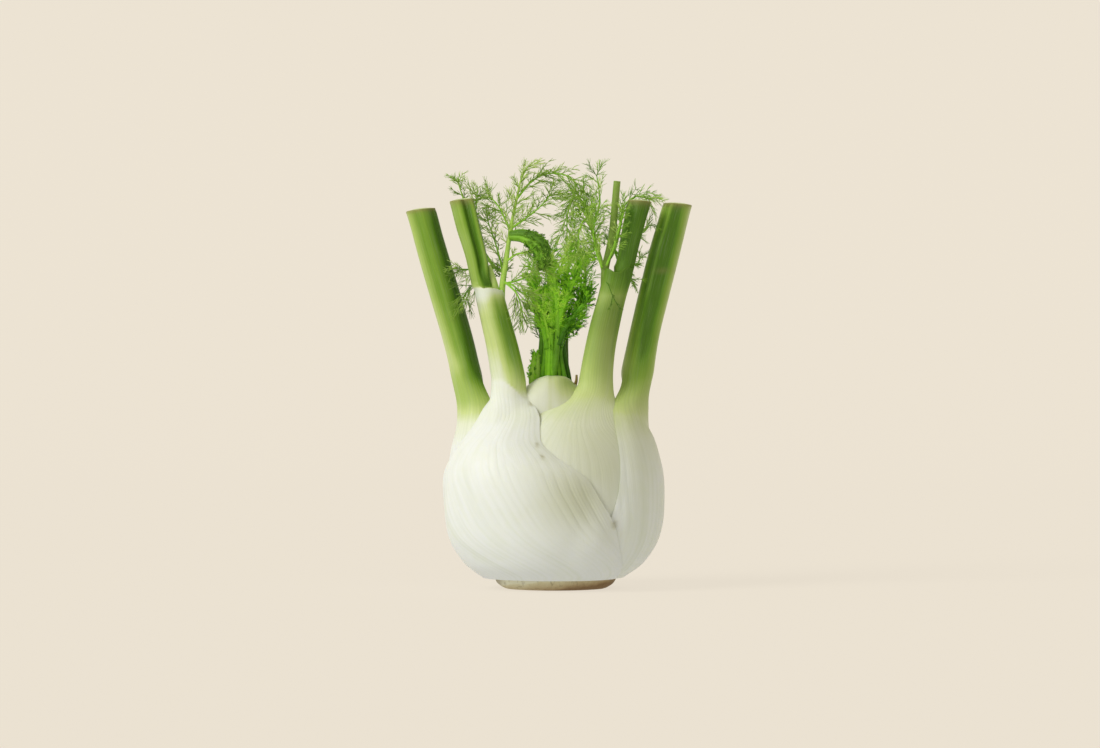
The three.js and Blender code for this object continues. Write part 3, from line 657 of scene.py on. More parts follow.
def leaf_mesh(index):
    """Points and faces, and for each point its rib, its bearing and how many rings past the cut it is."""
    leaf = LEAVES[index]
    top, tilt = leaf["top"]
    made = body_rings(index)
    body_rows = len(made)
    rim, count, bearing = leaf_ring(index, top)
    centre = np.array([*leaf["stalk"](top)[:2], top])
    for scale, rise in CUT_STEPS:
        ring = centre + (rim - centre) * scale
        ring[:, 2] = top + rise
        made.append((ring, count, bearing))
    rings, counts, bearings = zip(*made)
    points = np.concatenate([*rings, [centre + (0, 0, CUT_DOME)]])
    if "mouth" in leaf:
        waver_rim(points, leaf["mouth"][0], 8 + index)
    lean = smoothstep(points[:, 2], top - 12, top - 1)
    points[:, 2] += (points[:, 0] - centre[0]) * tilt * lean

    rows, columns = len(rings), len(ACROSS)
    faces = skin_faces(rows, columns) + cap_faces((rows - 1) * columns, columns, rows * columns, True)
    faces += zip_foot(len(OUTER), len(INNER))
    rib, bearing = (np.append(np.concatenate(numbers), 0) for numbers in (counts, bearings))
    past_cut = np.append(np.repeat(np.arange(rows), columns), rows) - body_rows
    return points, faces, rib, bearing, past_cut


print("a cut closes in", len(CUT_STEPS), "steps")

# %% [markdown]
# # The colour of a leaf
# The blanched base is white, because light kept off it while it grew, with the faintest green in the
# furrows, which are also a little darker: partly the green of the coat and partly painted shade. Where it
# draws in to the stalk it goes pale yellow green and then deep green, in streaks that follow the veins: fine
# ones on the green, and broad faint ones on the white. An image could be painted for that, but numbers on
# the mesh have no seam and stay sharp from close up. There are five: the rib a point lies on, how green it
# is, how much olive tint and painted shade it has, and whether it is bruised or cut. Noise stretched along
# the ribs breaks the bands up. A little light passes into the flesh, which a low subsurface weight gives.

# %% Leaf finish
FLESH = [
    (0.0, (0.86, 0.875, 0.83)), (0.12, (0.79, 0.82, 0.62)), (0.3, (0.61, 0.70, 0.26)),
    (0.5, (0.40, 0.54, 0.11)), (0.72, (0.22, 0.38, 0.028)), (0.9, (0.115, 0.26, 0.008)),
    (1.0, (0.075, 0.18, 0.005)),
]
WHITE_FURROW, GREEN_FURROW = (0.64, 0.68, 0.48), (0.10, 0.24, 0.01)
WHITE_OLIVE, GREEN_OLIVE = (0.56, 0.57, 0.38), (0.25, 0.26, 0.05)
VEIN, BROAD_STREAK, BRUISE = (0.86, 0.89, 0.66), (0.60, 0.64, 0.44), (0.30, 0.26, 0.09)
PALE_PITH, GREEN_PITH = (0.62, 0.70, 0.36), (0.40, 0.52, 0.18)


def leaf_finish(name):
    finish = Finish(
        name, Subsurface_Weight=0.12, Subsurface_Scale=0.004, Subsurface_Radius=(1.0, 0.9, 0.5),
        IOR=1.42, Specular_IOR_Level=0.25, Sheen_Weight=0.06, Sheen_Roughness=0.4,
    )
    place = finish.place()
    rib, green, thin, scar, cut = (finish.value(key) for key in ("rib", "green", "thin", "scar", "cut"))
    along = finish.part(place, "Z")
    streaks = finish.noise(finish.triple(rib * 1.7, along * 22, 0.0), 1.0, 4, 0.6)
    threads = finish.noise(finish.triple(rib * 7.0, along * 60, 3.0), 1.0, 2, 0.5)
    broad = finish.noise(finish.triple(rib * 0.4, along * 14, 7.0), 1.0, 3, 0.55)
    blotches = finish.noise(place, 0.011, 3)
    # Darker and greener in the furrows between the ribs: partly the coat's own green and partly painted
    # shade.
    furrow = (0.5 - 0.5 * finish.math("COSINE", rib * math.tau)) * streaks.between(0.35, 0.7)

    shade = green + (streaks - 0.5) * 0.22 * green.between(0.02, 0.3) + (blotches - 0.5) * 0.12
    skin = finish.ramp(shade, *FLESH)
    skin = finish.blend(furrow * 0.2, skin, finish.blend(green, WHITE_FURROW, GREEN_FURROW))
    skin = finish.blend(threads.between(0.52, 0.75) * 0.12, skin, VEIN)
    skin = finish.blend(broad.between(0.5, 0.68) * (1 - green) * 0.2, skin, BROAD_STREAK)
    # Painted shade: olive patches where the coat lies in shade; on the heart the same blend gives its even
    # olive tint.
    skin = finish.blend(thin, skin, finish.blend(green, WHITE_OLIVE, GREEN_OLIVE))
    skin = finish.blend(scar, skin, BRUISE)
    pith = finish.blend(finish.noise(place, 0.0006, 2).between(0.45, 0.7), PALE_PITH, GREEN_PITH)
    finish.coat(
        Base_Color=finish.blend(cut, skin, pith),
        Roughness=0.34 + threads * 0.14 + cut * 0.2,
        Normal=finish.bump(threads + blotches * 0.6, 0.00012, 0.5),
    )
    return finish


leaf_skin = leaf_finish("fennel_leaf_skin")
print("leaf finish has", len(leaf_skin.tree.nodes), "nodes")

# %% [markdown]
# # Building the four leaves
# The green of a point comes from the leaf's short table of heights. It is made paler on the left side of
# the stalk, partly its own colour and partly painted light where the light falls, paler on both flanks as
# a painted sheen and painted light, paler on its ridges and deeper in its channels as painted light and
# shade, and nearly white where a sheath's rim still laps over the stalk. Bruises and patches of painted
# shade are soft ovals on the front.

# %% Colours of the points
# Small bruises along the margins: x, height, half width, half height and strength.
SCARS = [
    (-11, 85, 1.1, 1.1, 0.6), (-6.6, 80.8, 1.0, 1.0, 0.6), (-8.2, 66.5, 0.9, 0.9, 0.6),
    (-5.8, 61.2, 0.9, 0.9, 0.6), (26.5, 30.5, 1.3, 1.3, 0.6),
]
# The side that the light falls on: the stalk is painted paler there, partly its own paler colour and partly
# painted light.
LIT_SIDE = -74  # bearing of the paler side of a stalk


def oval_marks(points, marks):
    """How strongly each point on the front is marked."""
    marked = np.zeros(len(points))
    for x, height, wide, tall, strength in marks:
        apart = ((points[:, 0] - x) / wide) ** 2 + ((points[:, 2] - height) / tall) ** 2
        marked = np.maximum(marked, strength * np.exp(-apart) * (points[:, 1] < 0))
    return marked


def leaf_green(leaf, z, across, bearing):
    green = np.interp(z, *zip(*leaf["green"]))
    # Paler on the lit side, partly the stalk's own colour and partly painted light, and paler on both
    # flanks, a painted sheen and painted light.
    side_tint_and_light = lerp(*leaf["side_tint_and_light"], smoothstep(z, 105, 140))
    lit_side_paling = side_tint_and_light * np.clip(1.5 * np.cos(np.radians(bearing - LIT_SIDE)), -1, 1)
    green = green - (lit_side_paling + leaf["painted_flank_light"] * np.sin(np.radians(bearing)) ** 2) * smoothstep(z, 84, 104)
    # Deeper green in the channels, painted shade, and paler on the ridges, painted light.
    green = green - 0.3 * np.clip(flute_depth(leaf, bearing, z), -0.8, 1.2) * (z > 96)
    if "collar" in leaf:
        covered, rim = collar(leaf, across, z)[0], leaf["mouth"][0]
        # Greener on the right half, away from the light: partly the stalk's own green and partly painted
        # shade.
        green = green + 0.16 * smoothstep(across, 0.0, 0.3) * smoothstep(z, 86, 94)
        green = lerp(green, 0.04, covered * smoothstep(z, 70, 80) * 0.9)
        green = lerp(green, 0.08, 0.9 * np.exp(-((z - rim) / 3) ** 2) * (z < rim + 0.6))
    return np.clip(green, 0, 1)


def leaf_scars(leaf, points, bearing, past_cut):
    """Bruises, the dry edge of the cut and, on one stalk, the faint ring of a node."""
    dry_edge = 0.8 * smoothstep(past_cut, -1.7, 1) * (past_cut <= 2)
    scar = np.maximum(oval_marks(points, SCARS), dry_edge)
    if "node_scar" in leaf:
        waver = 0.8 * np.sin(np.radians(bearing * 2))
        ring = np.exp(-((points[:, 2] - leaf["node_scar"] + waver) / 0.7) ** 2)
        scar = np.maximum(scar, 0.34 * ring * (bearing > -80) * (bearing < 120))
    return scar


print(len(SCARS), "bruises")

# %% Leaves
for index, leaf in enumerate(LEAVES):
    points, faces, rib, bearing, past_cut = leaf_mesh(index)
    across = np.resize(ACROSS, len(points))
    values = {
        "rib": rib,
        "green": leaf_green(leaf, points[:, 2], across, bearing),
        "cut": smoothstep(past_cut, 2, 4),
        "scar": leaf_scars(leaf, points, bearing, past_cut),
        "thin": oval_marks(points, leaf.get("thin", [])),
    }
    add_piece(leaf["name"] + "_skin", leaf["name"], points, faces, leaf_skin, values)

# %% [markdown]
# # The heart
# Inside the four big leaves sits the heart, a roll of younger leaves. Only its domed top shows, between
# the stalks and from behind, with a hollow in it that the young shoots rise from. A squashed ball would do
# for the front, but it has no such hollow. So the dome is drawn as a height over each spot of the plan:
# it is a stack of ovals, and the height of a spot is that of the oval it lies on, found by halving. The
# edges of the rolled leaves are small steps that spiral up it.

# %% Heart
NEST = {"x": -0.8, "y": 2.6, "half_width": 9.6, "half_depth": 6, "floor": 84.6}
CROWN_TOP, CROWN_FOOT = 98.4, 64.0
CROWN_RINGS = 60
FOLD_ARC, FOLD_STEP = 105, 0.6  # degrees from one rolled edge to the next, and how high a step it is
CREASE = -2.2  # where the outermost roll of the heart ends at the front
HEART_THIN = 0.4  # the young coats let the green show through everywhere


def oval(middle_x, middle_y, half_width, half_depth, turn):
    return np.stack([middle_x + half_width * np.cos(turn), middle_y + half_depth * np.sin(turn)], -1)


def inside_oval(x, y, middle_x, middle_y, half_width, half_depth):
    """Less than 1 inside an oval, 1 on it and more outside."""
    return ((x - middle_x) / half_width) ** 2 + ((y - middle_y) / half_depth) ** 2


def crown_height(x, y):
    """Height of the heart's top over a spot, by halving between the lowest and the highest oval."""
    low, high = np.full(np.shape(x), CROWN_FOOT), np.full(np.shape(x), CROWN_TOP)
    for _ in range(26):
        middle = (low + high) / 2
        outside = inside_oval(x, y, *np.moveaxis(CROWN(middle), -1, 0)) > 1
        low, high = np.where(outside, low, middle), np.where(outside, middle, high)
    return low + 0.35 * np.clip(1 - inside_oval(x, y, *CROWN(CROWN_TOP)), 0, 1)


def crown_relief(x, y, z, turn):
    """Steps at the edges of the rolled leaves, and the crease where the last one ends at the front."""
    fold = (np.degrees(turn) + 3.4 * (z - CROWN_FOOT)) / FOLD_ARC % 1
    steps = FOLD_STEP * (np.clip(fold * 10, 0, 1) - fold) * smoothstep(y, -4, 4)
    crease = 0.3 * np.exp(-((x - CREASE) / 0.8) ** 2) + 0.7 * smoothstep(x, CREASE - 0.6, CREASE + 1.5)
    return steps - crease * smoothstep(-y, 2, 6) * smoothstep(z, 76, 90)


def heart_rings(turn):
    level = 0 * turn
    for z in [5.2, 8, 12, 18, 26, 36, 46, 56]:
        middle, half_width, half_depth = BODY(z)
        yield np.column_stack([oval(middle, 0, half_width, half_depth, turn), level + z])
    outline = oval(*CROWN(CROWN_FOOT), turn)
    nest = oval(NEST["x"], NEST["y"], NEST["half_width"], NEST["half_depth"], turn)
    for share in 1 - np.linspace(0, 1, CROWN_RINGS) ** 1.25:
        x, y = lerp(nest, outline, share).T
        z = crown_height(x, y)
        relief = crown_relief(x, y, z, turn) + 0.3 * ripple(x * 0.3, y * 0.3, 5)
        rim = z - 0.5 + relief * smoothstep(1 - share, 0, 0.06)
        yield np.column_stack([x, y, rim])
    for scale, drop in [(0.99, 0.5), (0.975, 1.6), (0.97, 4), (0.96, 20)]:
        spot = lerp(np.array([[NEST["x"], NEST["y"]]]), nest, scale)
        yield np.column_stack([spot, np.maximum(rim - drop, NEST["floor"])])


def heart_green(x, y, z):
    """Green round the hollow, more of it to the right of the crease, partly painted shade on the side away
    from the light, and a line of painted shade along the crease.
    """
    near = np.hypot((x - NEST["x"]) / NEST["half_width"], (y - NEST["y"]) / NEST["half_depth"])
    right = smoothstep(x, CREASE - 1, CREASE + 7)
    green = 0.05 + 0.1 * smoothstep(z, 86, 97) + 0.3 * (1 - smoothstep(near, 0.9, 1.25))
    green = green + right * lerp(0.06, 0.4, smoothstep(z, 82, 96))
    # A thin line of painted shade along the crease at the front.
    return green + 0.1 * np.exp(-((x - CREASE) / 1.2) ** 2) * (y < -4)


def build_heart():
    turn = np.arange(240) / 240 * math.tau
    rings = list(heart_rings(turn))
    foot, floor = (0, 0, rings[0][0, 2]), (NEST["x"], NEST["y"], NEST["floor"])
    points, faces = closed_skin(rings, foot, floor)
    none = np.zeros(len(points))
    values = {
        "rib": np.append(np.tile(np.degrees(turn) / 7.2, len(rings)), [0, 0]),
        "green": heart_green(*points.T), "cut": none, "scar": none, "thin": none + HEART_THIN,
    }
    add_piece("heart_skin", "heart", points, faces, leaf_skin, values)


build_heart()

# %% [markdown]
# # The stem plate
# Under the bulb the stem was cut off flat with a knife, a little unevenly round its rim. The cut dries tan
# and then brown, with darker specks where bundles of veins were cut, and it is darker brown at its left and
# right ends. A plain cylinder would look turned on a lathe, so it is a low disc with a wavering edge, and
# its finish changes from pale flesh at the top to dry brown at the cut. It is also painted lighter towards
# the left, where the light falls, and darker towards the right: painted light and shade.

# %% Stem plate
DRIED = [
    (0.0, (0.22, 0.13, 0.05)), (0.2, (0.38, 0.26, 0.12)), (0.5, (0.55, 0.44, 0.24)),
    (0.85, (0.70, 0.62, 0.38)), (1.0, (0.82, 0.78, 0.56)),
]
BROWN_END, BUNDLE = (0.20, 0.125, 0.055), (0.17, 0.10, 0.045)
# The plate from its underside up: height, half width and half depth.
PLATE = [
    (0, 4, 3.4), (0, 9, 7.6), (0, 14, 11.8), (0, 21.2, 17.8), (0.1, 22.8, 19.2), (0.35, 23.6, 19.8),
    (0.8, 24.4, 20.5), (1.4, 25.4, 21.3), (2.1, 26.3, 22), (2.9, 27, 22.5), (3.7, 27.4, 22.9),
    (4.4, 27.8, 23.2), (4.9, 28, 23.4), (5.0, 25, 21), (5.0, 12, 10),
]


def plate_finish():
    finish = Finish("fennel_stem_cut", IOR=1.4, Specular_IOR_Level=0.3)
    place = finish.place()
    height, across = finish.part(place, "Z"), finish.part(place, "X")
    squashed = finish.node("ShaderNodeVectorMath", {"operation": "MULTIPLY"}, {0: place, 1: (1, 1, 0.25)})
    fibres = finish.noise(squashed, 0.0016, 4, 0.6)
    patches = finish.noise(place, 0.006, 3)
    # Paler towards the top; lighter to the left and darker to the right is painted light and shade.
    level = height * 200 - across * 22 + (patches - 0.5) * 0.5 + (fibres - 0.5) * 0.3
    # Darker brown at the left and right ends.
    ends = finish.math("ABSOLUTE", across).between(0.0225, 0.0265) * 0.55
    browned = finish.blend(ends, finish.ramp(level, *DRIED), BROWN_END)
    finish.coat(
        Base_Color=finish.blend(fibres.between(0.5, 0.72) * 0.5, browned, BUNDLE),
        Roughness=0.6 + fibres * 0.25,
        Normal=finish.bump(fibres + patches, 0.0005, 0.8),
    )
    return finish


def build_plate():
    turn = np.arange(200) / 200 * math.tau
    waver = ripple(np.cos(turn) * 5, np.sin(turn) * 5, 41)
    chips = ripple(np.cos(turn) * 15, np.sin(turn) * 15, 42)
    rings = []
    for z, half_width, half_depth in PLATE:
        uneven = 1 + (0.014 * waver + 0.008 * chips) * (0.05 < z < 4.95)
        outline = oval(0, 0, half_width * uneven, half_depth * uneven, turn)
        rings.append(np.column_stack([outline, 0 * turn + z]))
    points, faces = closed_skin(rings, (0, 0, PLATE[0][0]), (0, 0, PLATE[-1][0]))
    add_piece("stem_plate_cut", "stem_plate", points, faces, plate_finish(), {})


build_plate()

# %% [markdown]
# # Threads
# A fennel frond has no flat blades at all. It is green threads that fork and fork again, each a few tenths
# of a millimetre thick. They could be hair curves, but a mesh is what other programs can read, so every
# thread is a slim three-sided tube that tapers to its tip. Thousands of them are made together as arrays.

# %% Thread meshes
WITHERED = -1  # tone of a stem that has gone brown


class Threads:
    """Gathers tapered tubes into one mesh, with a tone for each point and a mark on smooth stems."""

    def __init__(self):
        self.points, self.faces, self.tones, self.stems, self.count = [], [], [], [], 0

    def add(self, paths, radii, sides, tones, stem=0.0):
        """paths: tubes x points x 3; radii: points, or tubes x points; tones: one for each tube."""
        tubes, length = paths.shape[:2]
        if not tubes:
            return
        ahead = np.gradient(paths, axis=1)
        ahead /= np.linalg.norm(ahead, axis=-1, keepdims=True) + 1e-9
        steady = np.where(np.abs(ahead.mean(1))[:, 1:2] < 0.8, [[0.0, 1.0, 0.2]], [[1.0, 0.0, 0.3]])
        side = np.cross(ahead, steady[:, None])
        side /= np.linalg.norm(side, axis=-1, keepdims=True) + 1e-9
        turn = np.arange(sides) / sides * math.tau
        cosines, sines = np.cos(turn)[:, None], np.sin(turn)[:, None]
        spoke = cosines * side[:, :, None] + sines * np.cross(ahead, side)[:, :, None]
        radii = np.broadcast_to(radii, (tubes, length))
        rings = paths[:, :, None] + spoke * radii[..., None, None]
        first = self.count + np.arange(tubes)[:, None] * length * sides
        quads = np.array(skin_faces(length, sides))
        self.points.append(rings.reshape(-1, 3))
        self.faces.append((first[:, :, None] + quads[None]).reshape(-1, 4).tolist())
        for end in (np.arange(sides)[::-1], (length - 1) * sides + np.arange(sides)):
            self.faces.append((first + end).tolist())
        along = np.linspace(0.04, lerp(-0.1, 0.1, stem), length)
        shading = np.asarray(tones)[:, None, None] + along[None, :, None]
        self.tones.append(np.broadcast_to(shading, (tubes, length, sides)).ravel())
        self.stems.append(np.full(tubes * length * sides, stem))
        self.count += tubes * length * sides

    def mesh(self):
        """Points, faces and numbers of all tubes, with the tone lighter high up and darker low in the bunch,
        painted shade.
        """
        faces = [face for group in self.faces for face in group]
        points = np.concatenate(self.points)
        height = points[:, 2]
        # Darker low in the bunch, where the threads above shade it: painted shade.
        shift = 0.08 * smoothstep(height, 132, 150) - 0.32 * (1 - smoothstep(height, 106, 132))
        tones = np.concatenate(self.tones)
        tone = np.where(tones < WITHERED / 2, 0, np.clip(tones + shift, 0.1, 1))
        return points, faces, {"tone": tone, "stem": np.concatenate(self.stems)}


sample = Threads()
sample.add(np.zeros((2, 4, 3)), 1.0, 3, [0.5, 0.5])
print("two threads of four points have", sample.count, "corners")

# %% [markdown]
# # Limbs
# The branches of a frond are the same few smooth curves as in the solids. Blender's own curves could draw
# them, but each leaflet has to know where it sits and which way its branch runs there. So they are read
# here, at even steps along their length, because leaflets sit at even steps on a real frond.

# %% Limb curves
def smooth_path(knots, steps):
    """A centripetal Catmull-Rom curve through the knots, at even steps of length."""
    knots = np.array(knots, float)
    knots = np.vstack([2 * knots[0] - knots[1], knots, 2 * knots[-1] - knots[-2]])
    pieces = []
    s = np.linspace(0, 1, 24, endpoint=False)[:, None]
    for a, b, c, d in zip(knots, knots[1:], knots[2:], knots[3:]):
        ab, bc, cd = (np.linalg.norm(q - p) ** 0.5 for p, q in ((a, b), (b, c), (c, d)))
        leave = ((b - a) / ab - (c - a) / (ab + bc) + (c - b) / bc) * bc
        arrive = ((c - b) / bc - (d - b) / (bc + cd) + (d - c) / cd) * bc
        keep = 2 * s**3 - 3 * s**2 + 1
        pieces.append(keep * b + (1 - keep) * c + (s**3 - 2 * s**2 + s) * leave + (s**3 - s**2) * arrive)
    fine = np.vstack([*pieces, knots[-2:-1]])
    length = np.append(0, np.cumsum(np.linalg.norm(np.diff(fine, axis=0), axis=1)))
    even = np.linspace(0, length[-1], steps)
    return np.stack([np.interp(even, length, fine[:, axis]) for axis in range(3)], -1), length[-1]


def unit(vectors):
    return vectors / (np.linalg.norm(vectors, axis=-1, keepdims=True) + 1e-9)


print("a bow over 10 mm is", round(smooth_path([[0, 0, 0], [5, 0, 3], [10, 0, 0]], 9)[1], 1), "mm long")

# %% [markdown]
# # Room for the fronds
# Threads lie against the stalks but never run through them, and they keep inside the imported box. A thread
# in the way could be pushed aside, but nobody misses one among thousands. So each is tested point by
# point, and left out where it would not fit.

# %% Room test
LOW, HIGH = (np.array(corner) / MM for corner in cad_box)
SPARE = 0.3  # millimetres kept free inside the box


def has_room(paths):
    """For each path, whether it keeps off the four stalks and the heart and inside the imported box."""
    inside_box = ((paths > LOW + SPARE) & (paths < HIGH - SPARE)).all(-1).all(-1)
    x, y, z = np.moveaxis(paths, -1, 0)
    hit = (z < CROWN_TOP) & (inside_oval(x, y, *np.moveaxis(CROWN(z), -1, 0)) < 1)
    for leaf in LEAVES:
        middle_x, middle_y, half_across, half_deep = np.moveaxis(leaf["stalk"](z), -1, 0)
        facing = math.radians(leaf["bearing"])
        sideways = (x - middle_x) * math.cos(facing) + (y - middle_y) * math.sin(facing)
        outwards = (x - middle_x) * math.sin(facing) - (y - middle_y) * math.cos(facing)
        near = inside_oval(sideways, outwards, 0, 0, half_across, half_deep) < 1.05
        hit |= near & (z > 84) & (z < leaf["top"][0] + 1)
    return inside_box & ~hit.any(-1)


print("room between the stalks and inside one:", has_room(np.array([[[0.0, 0, 170]], [[-60.0, 3, 165]]])))

# %% [markdown]
# # Leaflets
# A leaflet is a curved thread with shorter threads on both sides, and each of those forks once more. The
# angles are narrow, so a leaflet looks like a small brush that leans ahead along its branch. One leaflet
# could be made and copied, but the eye finds such copies, so each is grown with its own random turns. All
# leaflets of a limb are computed together: every level of forking is one more step of the same arrays.

# %% Growing leaflets
THREAD = 0.2  # half the thickness of a fine thread at its foot, in millimetres
DROOP = (0, 0, -0.12)  # how far a tip sinks, as a share of the thread's length


def bent_paths(root, aim, length, bend, steps):
    """Threads that start at root towards aim, and curve by bend."""
    t = np.linspace(0, 1, steps)[None, :, None]
    return root[:, None] + length[:, None, None] * (aim[:, None] * t + bend[:, None] * t**2)


def add_forks(threads, dice, paths, aim, across, length, bend, tone, thick, dry):
    """The last two threads on each path, one to each side near its foot."""
    for way, start in ((-1, 1.0), (1, 0.7)):
        root = lerp(paths[:, 0], paths[:, 1], start)
        turned = unit(aim + way * across * 0.4 + dice.normal(0, 0.16, root.shape))
        tips = bent_paths(root, turned, length * 0.75, bend, 3)
        room = has_room(tips)
        threads.add(tips[room], np.linspace(thick * 0.85, thick * 0.35, 3), 3, tone[room], dry)


def add_leaflets(threads, dice, root, ahead, out, length, tone, sides, thick, dry):
    """Leaflets from those roots, as three levels of threads."""
    count = len(root)
    aim = unit(ahead * dice.uniform(0.7, 1.5, (count, 1)) + out)
    bend = ahead * 0.2 + dice.normal(0, 0.09, (count, 3)) + DROOP
    stems = bent_paths(root, aim, length, bend, 6)
    room = has_room(stems[:, 1:])
    stems, aim, length, tone = stems[room], aim[room], length[room], tone[room]
    threads.add(stems, np.linspace(thick * 1.3, thick * 0.5, 6), 3, tone, dry)
    if not len(stems):
        return
    row = np.arange(len(stems))
    flat = unit(np.cross(aim, dice.normal(0, 1, aim.shape)))
    for place in np.linspace(0.14, 0.86, sides):
        for way in (-1, 1):
            at = np.clip(place + dice.uniform(-0.06, 0.06, len(row)), 0.1, 0.96) * 5
            low = at.astype(int).clip(0, 4)
            root = lerp(stems[row, low], stems[row, low + 1], (at - low)[:, None])
            ahead = unit(stems[row, low + 1] - stems[row, low])
            spread = dice.uniform(0.4, 0.8, (len(row), 1))
            aim = unit(ahead + way * flat * spread + dice.normal(0, 0.2, (len(row), 3)))
            side_length = length * lerp(0.72, 0.45, place) * dice.uniform(0.7, 1.2, len(row))
            bend = ahead * 0.25 + dice.normal(0, 0.1, (len(row), 3)) + DROOP
            paths = bent_paths(root, aim, side_length, bend, 4)
            room = has_room(paths)
            threads.add(paths[room], np.linspace(thick, thick * 0.4, 4), 3, tone[room], dry)
            across = unit(np.cross(aim[room], flat[room]))
            add_forks(threads, dice, paths[room], aim[room], across, side_length[room], bend[room],
                      tone[room], thick, dry)


print("a leaflet with three pairs of sides has", 1 + 3 * 2 * (1 + 2), "threads")

# %% [markdown]
# # Branches and tufts
# A branch is a smooth tapering stem, bare at its foot, with leaflets at even steps that turn round it by
# the angle at which most plants set their leaves. A tuft is a clump of short leaflets with no stem of its
# own. Each branch states only how it differs from a plain one: `radius` and `tip` are its thickness,
# `bare` the share of it without leaflets, `reach` their length, `spacing` the step between them and
# `thick` their threads. `tone` is light or dark, `stem` how smooth and pale the stem is, `dry` the same
# for its leaflets, and `node` where it is swollen.

# %% Branches
LEAF_TURN = 2.4  # radians from one leaflet to the next


def add_limb(threads, dice, points, tone, dry, radius=0.55, tip=0.26, bare=0.2, reach=8, spacing=2.1,
             sides=3, thick=THREAD, node=-1, stem=None):
    """A branch, and the leaflets past its bare foot."""
    path, length = smooth_path(points, max(8, 7 * len(points)))
    share = np.linspace(0, 1, len(path))
    swollen = 1 + 0.35 * np.exp(-((share - node) / 0.03) ** 2)
    if stem is None:
        stem = 0.6 if radius > 0.9 else 0.3
    threads.add(path[None], lerp(radius, tip, share) * swollen, 10 if radius > 1 else 7, [tone], stem)
    if reach == 0:
        return
    at = np.append(np.arange(bare * length, length, spacing) / length, [0.985, 0.99, 1.0])
    root = np.stack([np.interp(at, share, path[:, axis]) for axis in range(3)], -1)
    ahead = unit(np.stack([np.interp(at, share, g) for g in np.gradient(path, axis=0).T], -1))
    spin = (np.arange(len(at)) * LEAF_TURN + dice.uniform(0, 0.8, len(at)))[:, None]
    side = unit(np.cross(ahead, [0.2, 1.0, 0.1]))
    out = np.cos(spin) * side + np.sin(spin) * np.cross(ahead, side)
    long = reach * lerp(1.15, 0.85, at) * dice.uniform(0.75, 1.25, len(at))
    tones = np.clip(tone + dice.normal(0, 0.14, len(at)), 0.1, 0.9)
    add_leaflets(threads, dice, root, ahead, out, long, tones, sides, thick, dry)


def add_tuft(threads, dice, tuft, dry):
    """A clump of short leaflets that open out from a point a little below its middle."""
    *middle, radius, count, tone, thick = tuft
    spread = unit(dice.normal(0, 1, (count, 3))) * radius * dice.uniform(0.2, 1, (count, 1)) ** 0.5
    root = np.array(middle) + spread * (0.8, 0.8, 1.0)
    ahead = unit(spread + (0, 0, 1.1 * radius))
    out = 0.5 * unit(np.cross(ahead, dice.normal(0, 1, ahead.shape)))
    long = (1 + 0.68 * radius) * dice.uniform(0.75, 1.2, count)
    # Leaflets at the top of a tuft are lighter and those underneath darker: painted light and shade.
    tones = np.clip(tone + dice.normal(0, 0.12, count) + 0.14 * spread[:, 2] / radius, 0.1, 0.9)
    add_leaflets(threads, dice, root, ahead, out, long, tones, 2, thick, dry)


def limb(*points, **style):
    """One branch in a list of them: its points, and how it differs from a plain one."""
    return {"points": points, **style}


print("leaflets turn by", round(math.degrees(LEAF_TURN)), "degrees")

# %% [markdown]
# # The colour of the fronds
# Young threads are bright yellow green where the light passes through them and deep green in the shade of
# the bunch. The mesh gives each thread its own tone, from dark to light, and noise varies it along the
# thread. Smooth stems and dry threads take a duller run of greens. Threads this thin pass light on to one
# another, which a path tracer gives only slowly, so they glow very faintly in their own colour instead.

# %% Frond finish
WITHERED_BROWN = (0.26, 0.17, 0.06)
LEAFY = [
    (0.0, WITHERED_BROWN), (0.06, (0.20, 0.15, 0.04)), (0.1, (0.03, 0.12, 0.004)), (0.3, (0.13, 0.36, 0.01)),
    (0.5, (0.27, 0.62, 0.022)), (0.75, (0.50, 0.84, 0.06)), (1.0, (0.74, 0.93, 0.24)),
]
SMOOTH = [
    (0.0, WITHERED_BROWN), (0.1, (0.10, 0.16, 0.022)), (0.5, (0.27, 0.39, 0.07)), (1.0, (0.58, 0.68, 0.25)),
]
SPECK = (0.16, 0.38, 0.05)


def frond_finish():
    finish = Finish(
        "fennel_frond", IOR=1.45, Specular_IOR_Level=0.2, Emission_Strength=0.1,
        Subsurface_Weight=0.15, Subsurface_Scale=0.001, Subsurface_Radius=(0.6, 1.0, 0.2),
    )
    place, own_tone = finish.place(), finish.value("tone")
    tone = own_tone + (finish.noise(place, 0.003, 3) - 0.5) * 0.3 * own_tone.between(0.1, 0.3)
    fine = finish.noise(place, 0.0007, 2)
    green = finish.blend(finish.value("stem"), finish.ramp(tone, *LEAFY), finish.ramp(tone, *SMOOTH))
    finish.coat(
        Emission_Color=green,
        Base_Color=finish.blend(fine.between(0.4, 0.8) * 0.2, green, SPECK),
        Roughness=0.38 + fine * 0.2,
        Normal=finish.bump(fine, 0.0001, 0.4),
    )
    return finish


frond_green = frond_finish()
print("frond finish has", len(frond_green.tree.nodes), "nodes")

# %% [markdown]
# # Growing a frond
# A frond is a list of branches and tufts, grown into one mesh. A young leaf that is still folded looks like
# a plump rope of green and not like a feather, so it is a bundle of thin branches side by side round one
# line, spread widest near its middle.

